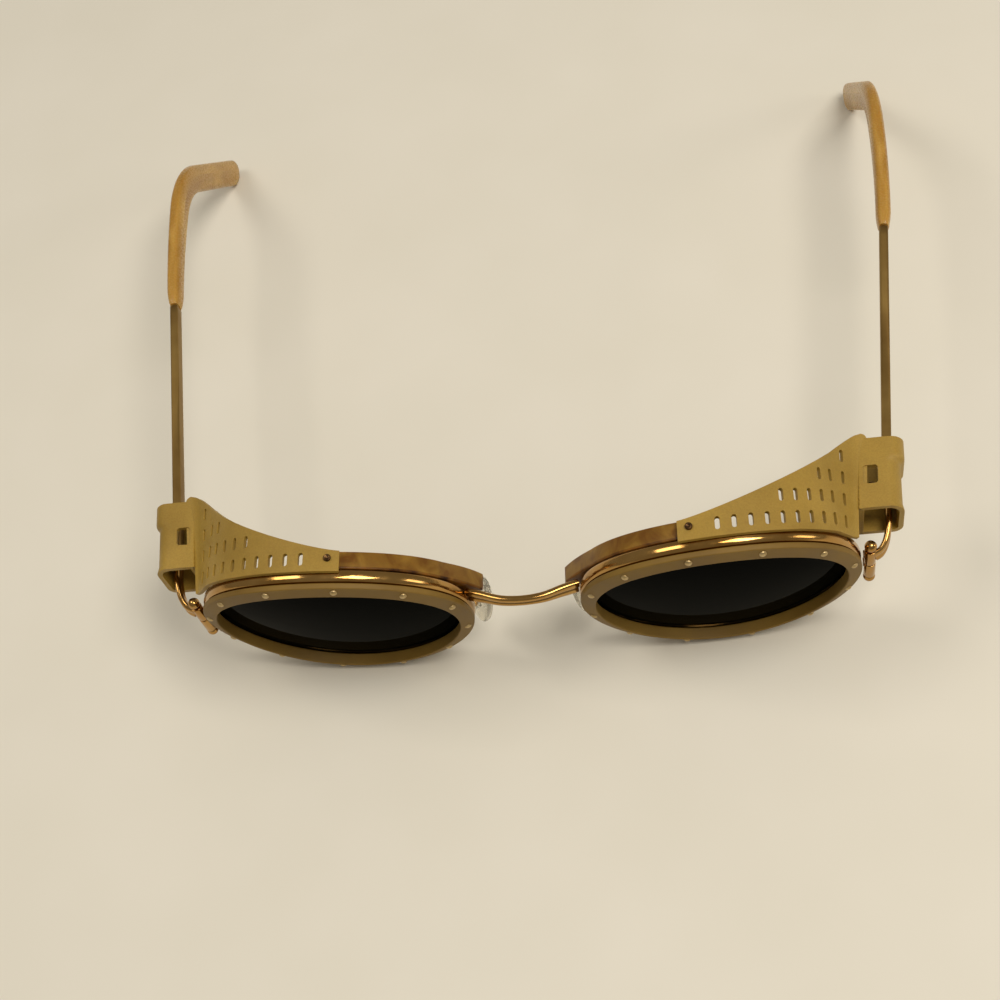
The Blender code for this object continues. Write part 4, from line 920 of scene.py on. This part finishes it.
strap_end = np.array((HINGE[0] + TEMPLE_OFFSET, HINGE[1] - TEMPLE_BUTT - GAP, HINGE[2]))
strap_start = np.array((LOCK[0], LOCK[1], GAP + 0.51 * LOCK_HALF))
strap_share = np.array(((0.16, -0.03, 0.0), (0.48, 0.04, 0.17), (0.73, 0.20, 0.52),
                        (0.89, 0.45, 0.87), (0.955, 0.7, 1.0), (1.0, 1.0, 1.0)))
strap_line = curve_through(strap_start + strap_share * (strap_end - strap_start), 90)
strap_ribs = ribbed_section(STRAP_HEIGHT, STRAP_THICKNESS, STRAP_WEB)
half_barrel = barrel(LOCK_RADIUS, 0.5 * GAP, LOCK_HALF)
butt = -TEMPLE_BUTT - 2 * GAP
for word, side in SIDES:
    end_piece = [carried(strap_line, strap_ribs), turned(half_barrel, LOCK),
                 lock_tab(TAB_FOOT, 0.5 * LOCK_HALF)]
    for foot in (KNUCKLE_LOW, KNUCKLE_HIGH - KNUCKLE_HEIGHT):
        end_piece += knuckle(foot, KNUCKLE_HEIGHT, (-0.9 * KNUCKLE, -0.15 * KNUCKLE),
                             (butt, butt - 1.3))
    lower = half_barrel[:-2] + ball(LOCK_HALF + 0.87 * BALL, -50.0)
    lock_foot = [turned([(radius, -height) for radius, height in lower], LOCK),
                 lock_tab(-0.5 * LOCK_HALF, -TAB_FOOT)]
    seat, shank_end = LOCK_HALF + GAP, -0.76 * LOCK_HALF
    screw = [(0.0, shank_end), (SCREW_SHANK, shank_end), (SCREW_SHANK, seat), (0.68 * BALL, seat),
             (0.75 * BALL, seat + 0.08)] + ball(seat + 0.87 * BALL, -38.0)
    for name, grids, node, edge in (("_strap", end_piece, "_end_piece", PLATED_EDGE),
                                    ("_lock_foot", lock_foot, "_lock_block", PLATED_EDGE),
                                    ("_lock_screw", [turned(screw, LOCK)], "_closing_screw", 0.0)):
        piece(word + name, [grid * (side, 1.0, 1.0) for grid in grids], rose_gold,
              "front", [word + node], crisp=50.0, edge=edge)


# ---------------------------------------------------------------------------------------------
# Hinge screws
# A slotted screw down through the three knuckles, seen through the sleeve's window. The same
# blackened steel as the rivets, with the slot milled across its head.

SCREW_HEAD = 0.82 * KNUCKLE
SCREW_SLOT_DEPTH = 0.35
SCREW_SLOT_TURN = 0.61

for word, side in SIDES:
    seat = KNUCKLE_HIGH + GAP
    rim = np.linspace(0.0, math.pi / 2, 5)
    profile = [(0.0, KNUCKLE_LOW), (SCREW_SHANK, KNUCKLE_LOW), (SCREW_SHANK, seat),
               (SCREW_HEAD, seat), (SCREW_HEAD, seat + 0.3)]
    profile += [(SCREW_HEAD - 0.2 + 0.2 * math.cos(a), seat + 0.3 + 0.2 * math.sin(a)) for a in rim]
    profile += [(radius, seat + 0.5 + 0.12 * (1 - (radius / SCREW_HEAD) ** 2))
                for radius in np.linspace(SCREW_HEAD - 0.25, 0.0, 16)]
    screw = turned(profile, HINGE_FOOT, steps=96)
    # The slot: heights on the head drop inside a band 0.38 mm wide, which is turned askew
    x, y, z = np.moveaxis(screw - HINGE, -1, 0)
    across = np.abs(x * math.cos(SCREW_SLOT_TURN) + y * math.sin(SCREW_SLOT_TURN))
    inside = np.clip((0.19 - across) / 0.05, 0.0, 1.0) * (screw[..., 2] > seat + 0.32)
    sunk = np.clip((screw[..., 2] - seat - 0.1) / SCREW_SLOT_DEPTH, 0.0, 1.0)
    screw[..., 2] -= SCREW_SLOT_DEPTH * inside * sunk
    piece(word + "_pivot_screw", [screw * (side, 1.0, 1.0)], black_steel, "front",
          [word + "_hinge_screw"], crisp=40.0)


# ---------------------------------------------------------------------------------------------
# Temples
# A slim flat bar from the hinge straight back to the tip, thinned to a neck inside the sleeve
# and again to the core that runs inside the tip. Nickel silver, brushed along its length and
# plated pale gold.

TEMPLE_SPLAY = math.radians(6.5)
TEMPLE_THICKNESS = 1.8
TEMPLE_HEIGHT = 3.1
TEMPLE_CORNER = 0.45
NECK_THICKNESS = 1.3
BLADE_LENGTH = 63.75
CORE_LENGTH = 20.0
CORE_THICKNESS = 0.8
CORE_HEIGHT = 1.8
TONGUE_HEIGHT = 1.3
TIP_CURVE_RADIUS = 312.0

# Brushed pale gold plate: strokes run along the bar about 0.1 mm apart and some 12 mm long,
# drawn from the map of lengths, so the sheen stretches across the bar.
brushed_gold, tree, places = finish("brushed pale gold plate", {
    "Metallic": 1.0, "Anisotropic": 0.4})
# The map's millimetres are turned to metres, a hundred times finer across
stretch = add(tree, "Mapping", {"Scale": (0.001, 0.1, 1.0)}, {"Vector": places["UV"]})
strokes = noise(tree, stretch.outputs["Vector"], 12.0, Detail=3.0, Roughness=0.6)
plate = noise(tree, places["Object"], 9.0, Detail=3.0)
feed(tree, {"Base Color": ramp(tree, plate, (0.3, "#86693A"), (0.75, "#A0844D"), (1.0, "#FFFFFF")),
            "Roughness": span(tree, strokes, 0.44, 0.6, 0.3, 0.7),
            "Normal": relief(tree, strokes, 0.12, 0.03)})


def along_temple(run, drop=0.0):
    """The temple's centre line: back and out at the splay, then curving in towards parallel
    along the tip, by the run squared over twice the curve's radius."""
    eased = np.maximum(0.0, run - BLADE_LENGTH) ** 2 / (2 * TIP_CURVE_RADIUS)
    return np.stack([HINGE[0] + TEMPLE_OFFSET + run * math.tan(TEMPLE_SPLAY) - eased,
                     HINGE[1] - TEMPLE_BUTT + run, HINGE[2] - drop + 0 * run], axis=-1)


for word, side in SIDES:
    neck = TEMPLE_BUTT + SLEEVE_BEHIND_HINGE + 2 * GAP
    runs = np.r_[0.0, 0.12, np.linspace(1.0, neck, 8), neck + GAP,
                 np.linspace(neck + 2.0, BLADE_LENGTH - GAP - 0.25, 24), BLADE_LENGTH - GAP]
    thin = np.where(runs <= neck + 1e-6, NECK_THICKNESS / TEMPLE_THICKNESS, 1.0)
    shrink = np.ones(len(runs))
    shrink[[0, -1]] = 0.86
    bar = bar_section(TEMPLE_THICKNESS, TEMPLE_HEIGHT, TEMPLE_CORNER, 5)
    core = bar_section(CORE_THICKNESS, CORE_HEIGHT, 0.3, 3)
    grids = [carried(along_temple(runs), bar * np.stack([thin * shrink, shrink], axis=-1)[:, None]),
             carried(along_temple(BLADE_LENGTH + np.linspace(-3.0, CORE_LENGTH, 12)), core)]
    grids += knuckle(HINGE[2] - TONGUE_HEIGHT / 2, TONGUE_HEIGHT, (0.15 * KNUCKLE, 0.9 * KNUCKLE),
                     (1.9, 0.15 * KNUCKLE))
    piece(word + "_temple_bar", [grid * (side, 1.0, 1.0) for grid in grids], brushed_gold,
          word + "_temple", [word + "_temple"], crisp=50.0)


# ---------------------------------------------------------------------------------------------
# Temple tips
# Paddles that grow from the bar, run straight and then bend down behind the ear. Caramel
# acetate, pressed hot over the core wire and tumbled until every edge is round.

TIP_THICKNESS = 3.2
TIP_HEIGHT = 6.4
TIP_STRAIGHT = 28.0
TIP_BEND = math.radians(46.0)
TIP_BEND_RADIUS = 22.0
TIP_TAIL = 30.781
TIP_ROUND = 4.0
TIP_COLLAR = 3.9

# Caramel acetate: warm and deep with a soft shine, darker streaks that run along the tip, some
# 4 mm apart, and tumbling scratches of 0.4 mm that soften the shine.
caramel_acetate, tree, places = finish("caramel acetate", {
    "IOR": 1.48, "Specular IOR Level": 0.3, "Coat Weight": 0.05, "Coat Roughness": 0.1,
    "Subsurface Weight": 0.3, "Subsurface Radius": (1.0, 0.5, 0.15), "Subsurface Scale": 0.002})
drawn = add(tree, "Mapping", {"Scale": (0.001, 0.004, 1.0)}, {"Vector": places["UV"]})
streaks = noise(tree, drawn.outputs["Vector"], 16.0, Detail=4.0, Distortion=0.6)
scratches = noise(tree, places["Object"], 0.4, Detail=3.0, Roughness=0.6)
caramel = ramp(tree, streaks, (0.3, "#9C7029"), (0.72, "#C59D50"), (1.0, "#FFFFFF"))
feed(tree, {"Base Color": caramel,
            "Roughness": span(tree, scratches, 0.2, 0.34, 0.3, 0.7),
            "Normal": relief(tree, scratches, 0.06, 0.04)})

for word, side in SIDES:
    # Back from the bar, down round the bend's circle, and on along its tangent
    straight = np.linspace(0.0, TIP_STRAIGHT, 40)[:-1]
    angle = np.linspace(0.0, TIP_BEND, 30)
    tail = np.r_[np.linspace(0.0, TIP_TAIL - TIP_ROUND - 0.2, 24)[1:],
                 TIP_TAIL - TIP_ROUND * np.cos(np.linspace(0.0, math.pi / 2, 14)[1:])]
    run = np.r_[straight, TIP_STRAIGHT + TIP_BEND_RADIUS * np.sin(angle),
                TIP_STRAIGHT + TIP_BEND_RADIUS * math.sin(TIP_BEND) + tail * math.cos(TIP_BEND)]
    drop = np.r_[0 * straight, TIP_BEND_RADIUS * (1 - np.cos(angle)),
                 TIP_BEND_RADIUS * (1 - math.cos(TIP_BEND)) + tail * math.sin(TIP_BEND)]
    # The paddle grows along the straight part, starts as a small collar and ends in an ellipse
    share = np.clip(run / TIP_STRAIGHT, 0.0, 1.0)
    collar = (1 - np.clip(run / TIP_COLLAR, 0.0, 1.0)) ** 1.6
    left = TIP_TAIL - np.r_[np.zeros(len(run) - len(tail)), tail]
    end = np.sqrt(1 - np.clip(1 - left / TIP_ROUND, 0.0, 1.0) ** 2)
    wide = TIP_THICKNESS * (0.96 + 0.04 * share - 0.30 * collar) * (0.35 + 0.65 * end)
    tall = TIP_HEIGHT * (0.68 + 0.32 * share - 0.10 * collar) * (0.06 + 0.94 * end)
    size = np.stack([wide, tall], axis=-1)
    size[0] *= 0.9
    section = bar_section(1.0, 1.0, 0.36, 8) * size[:, None]
    paddle = carried(along_temple(BLADE_LENGTH + run, drop), section)
    piece(word + "_tip", [paddle * (side, 1.0, 1.0)], caramel_acetate,
          word + "_temple", [word + "_temple_tip"], crisp=60.0)


# ---------------------------------------------------------------------------------------------
# Pad arms and nose pads
# A thin plated wire, soldered behind each rim, carries a small box; the clear soft pad has two
# ears that clip over it, so that the pad can rock.

ARM_ANGLE = 187.0
ARM_RADIUS = 0.42
PAD_LENGTH = 12.5
PAD_WIDTH = 7.2
PAD_THICKNESS = 1.3
PAD_BACK = 3.4
PAD_DROP = 7.5
PAD_OUT = 0.9
PAD_AXLE = 0.75
PAD_EAR = 0.65
PAD_STAND = 0.5

# Clear soft plastic with a milky touch and a trace of yellowing; the mould gave it a satin face
# with 0.5 mm ripples.
clear_pad, tree, places = finish("clear soft pad plastic", {
    "IOR": 1.38, "Transmission Weight": 0.92})
milk = noise(tree, places["Object"], 3.0, Detail=2.0)
ripple = noise(tree, places["Object"], 0.5, Detail=1.0)
feed(tree, {"Base Color": ramp(tree, milk, (0.3, "#F0EBDC"), (0.7, "#F8F5EC")),
            "Roughness": span(tree, milk, 0.16, 0.34), "Normal": relief(tree, ripple, 0.12, 0.05)})

for word, side in SIDES:
    root = beside_rim(side, ARM_ANGLE, WIRE_INNER + WIRE_WIDTH / 2, WIRE_REAR - GAP)
    centre = root + (side * PAD_OUT, PAD_BACK, -PAD_DROP)
    facing = np.array((-0.80 * side, 0.50, -0.33))
    facing /= np.linalg.norm(facing)
    tall = (0.0, 0.0, 1.0) - facing * facing[2]
    tall /= np.linalg.norm(tall)
    wide = np.cross(tall, facing)
    knots = (root, root + 0.3 * (centre - root) + (side * 0.3, 0.9, 1.0),
             root + 0.7 * (centre - root) + (side * 1.7, 1.6, 1.2),
             centre - facing * 2.6 + (0.0, 0.9, 0.2), centre - facing * 0.3)
    turn = np.linspace(0.0, 2 * math.pi, 16, endpoint=False)
    wire = ARM_RADIUS * np.stack([np.cos(turn), np.sin(turn)], axis=-1)
    box = turned(barrel(PAD_AXLE, -PAD_AXLE, PAD_AXLE, 0.15), centre, tall)
    piece(word + "_arm_wire", [carried(curve_through(knots, 80), wire, tall), box], rose_gold,
          "front", [word + "_pad_arm"])
    # The pad: egg-shaped rings whose size follows a cushion's profile from back to face
    level = np.linspace(-0.5, 0.5, 20)[:, None, None]
    size = (1 - np.abs(2 * level + 0.1) ** 3.2 * 0.28) * np.where(np.abs(level) > 0.49, 0.94, 1.0)
    angle = np.linspace(0.0, 2 * math.pi, 72, endpoint=False)[:, None]
    egg = (PAD_LENGTH / 2 * np.cos(angle) * tall
           + PAD_WIDTH / 2 * np.sin(angle) * (1 - 0.12 * np.cos(angle)) * wide)
    stand = PAD_AXLE + PAD_STAND + PAD_THICKNESS * (0.5 + level)
    pad = [centre + size * egg + stand * facing]
    radius, foot = 0.9 * PAD_AXLE, PAD_AXLE + PAD_STAND + PAD_THICKNESS / 3
    bend = np.linspace(0.0, math.pi, 12)
    x = np.r_[radius * np.cos(bend), -radius, radius][:, None]
    y = np.r_[-radius * np.sin(bend), foot, foot][:, None]
    for end in (-1.0, 1.0):
        rise = end * (PAD_AXLE + GAP + np.array((0.0, PAD_EAR)))[:, None, None]
        pad.append(centre + rise * tall + x * wide + y * facing)
    piece(word + "_pad", pad, clear_pad, word + "_pad", [word + "_nose_pad"],
          crisp=50.0)


# ---------------------------------------------------------------------------------------------
# Floor, light and camera
# A pale warm floor, two soft lamps overhead, a weak one low at the side, and the camera where
# the photograph was taken from.

floor_mesh = bpy.data.meshes.new("floor")
floor_mesh.from_pydata([(-4, -4, 0), (4, -4, 0), (4, 4, 0), (-4, 4, 0)], [], [(0, 1, 2, 3)])
floor = bpy.data.objects.new("floor", floor_mesh)
bpy.context.collection.objects.link(floor)
pale_floor, tree, places = finish("pale floor", {"Roughness": 0.8, "Specular IOR Level": 0.2})
mottle = noise(tree, places["Object"], 100 / 3, Detail=2.0)
feed(tree, {"Base Color": ramp(tree, mottle, (0.3, "#E2DED2"), (0.7, "#E5E1D6"))})
floor_mesh.materials.append(pale_floor)

# Places and sizes in metres from the floor's middle, and power in watts
for name, place, size, power in (("overhead lamp", (0.31, -0.18, 0.8), 0.35, 4.2),
                                 ("second lamp", (-0.45, 0.0, 0.75), 0.3, 1.6),
                                 ("side lamp", (0.8, -0.05, 0.3), 0.25, 0.7)):
    lamp = bpy.data.lights.new(name, "AREA")
    lamp.size, lamp.energy, lamp.color = size, power, colour("#FFF7EA")[:3]
    made = bpy.data.objects.new(name, lamp)
    bpy.context.collection.objects.link(made)
    made.location = place
    towards = Vector((0.0, 0.0, 0.02)) - Vector(place)
    made.rotation_euler = towards.to_track_quat("-Z", "Y").to_euler()

world = bpy.data.worlds.new("studio")
bpy.context.scene.world = world
world.use_nodes = True
world.node_tree.nodes["Background"].inputs["Color"].default_value = colour("#D8D2C6")
world.node_tree.nodes["Background"].inputs["Strength"].default_value = 0.4

camera = bpy.data.objects.new("camera", bpy.data.cameras.new("camera"))
bpy.context.collection.objects.link(camera)
azimuth, elevation, roll = math.radians(15.806), math.radians(58.343), math.radians(-18.769)
back = Vector((math.sin(azimuth) * math.cos(elevation), -math.cos(azimuth) * math.cos(elevation),
               math.sin(elevation)))
right = (-back).cross(Vector((0.0, 0.0, 1.0))).normalized()
above = right.cross(-back)
rolled_right = math.cos(roll) * right + math.sin(roll) * above
rolled_above = math.cos(roll) * above - math.sin(roll) * right
spot = (Vector((40.94, -137.22, 274.54)) + Vector(MIDDLE)) * 0.001
camera.matrix_world = (Matrix.Translation(spot)
                       @ Matrix((rolled_right, rolled_above, back)).transposed().to_4x4())
camera.data.lens = 57.6
camera.data.sensor_width = 36.0
camera.data.clip_start = 0.01
bpy.context.scene.camera = camera
bpy.context.scene.view_settings.view_transform = "Standard"
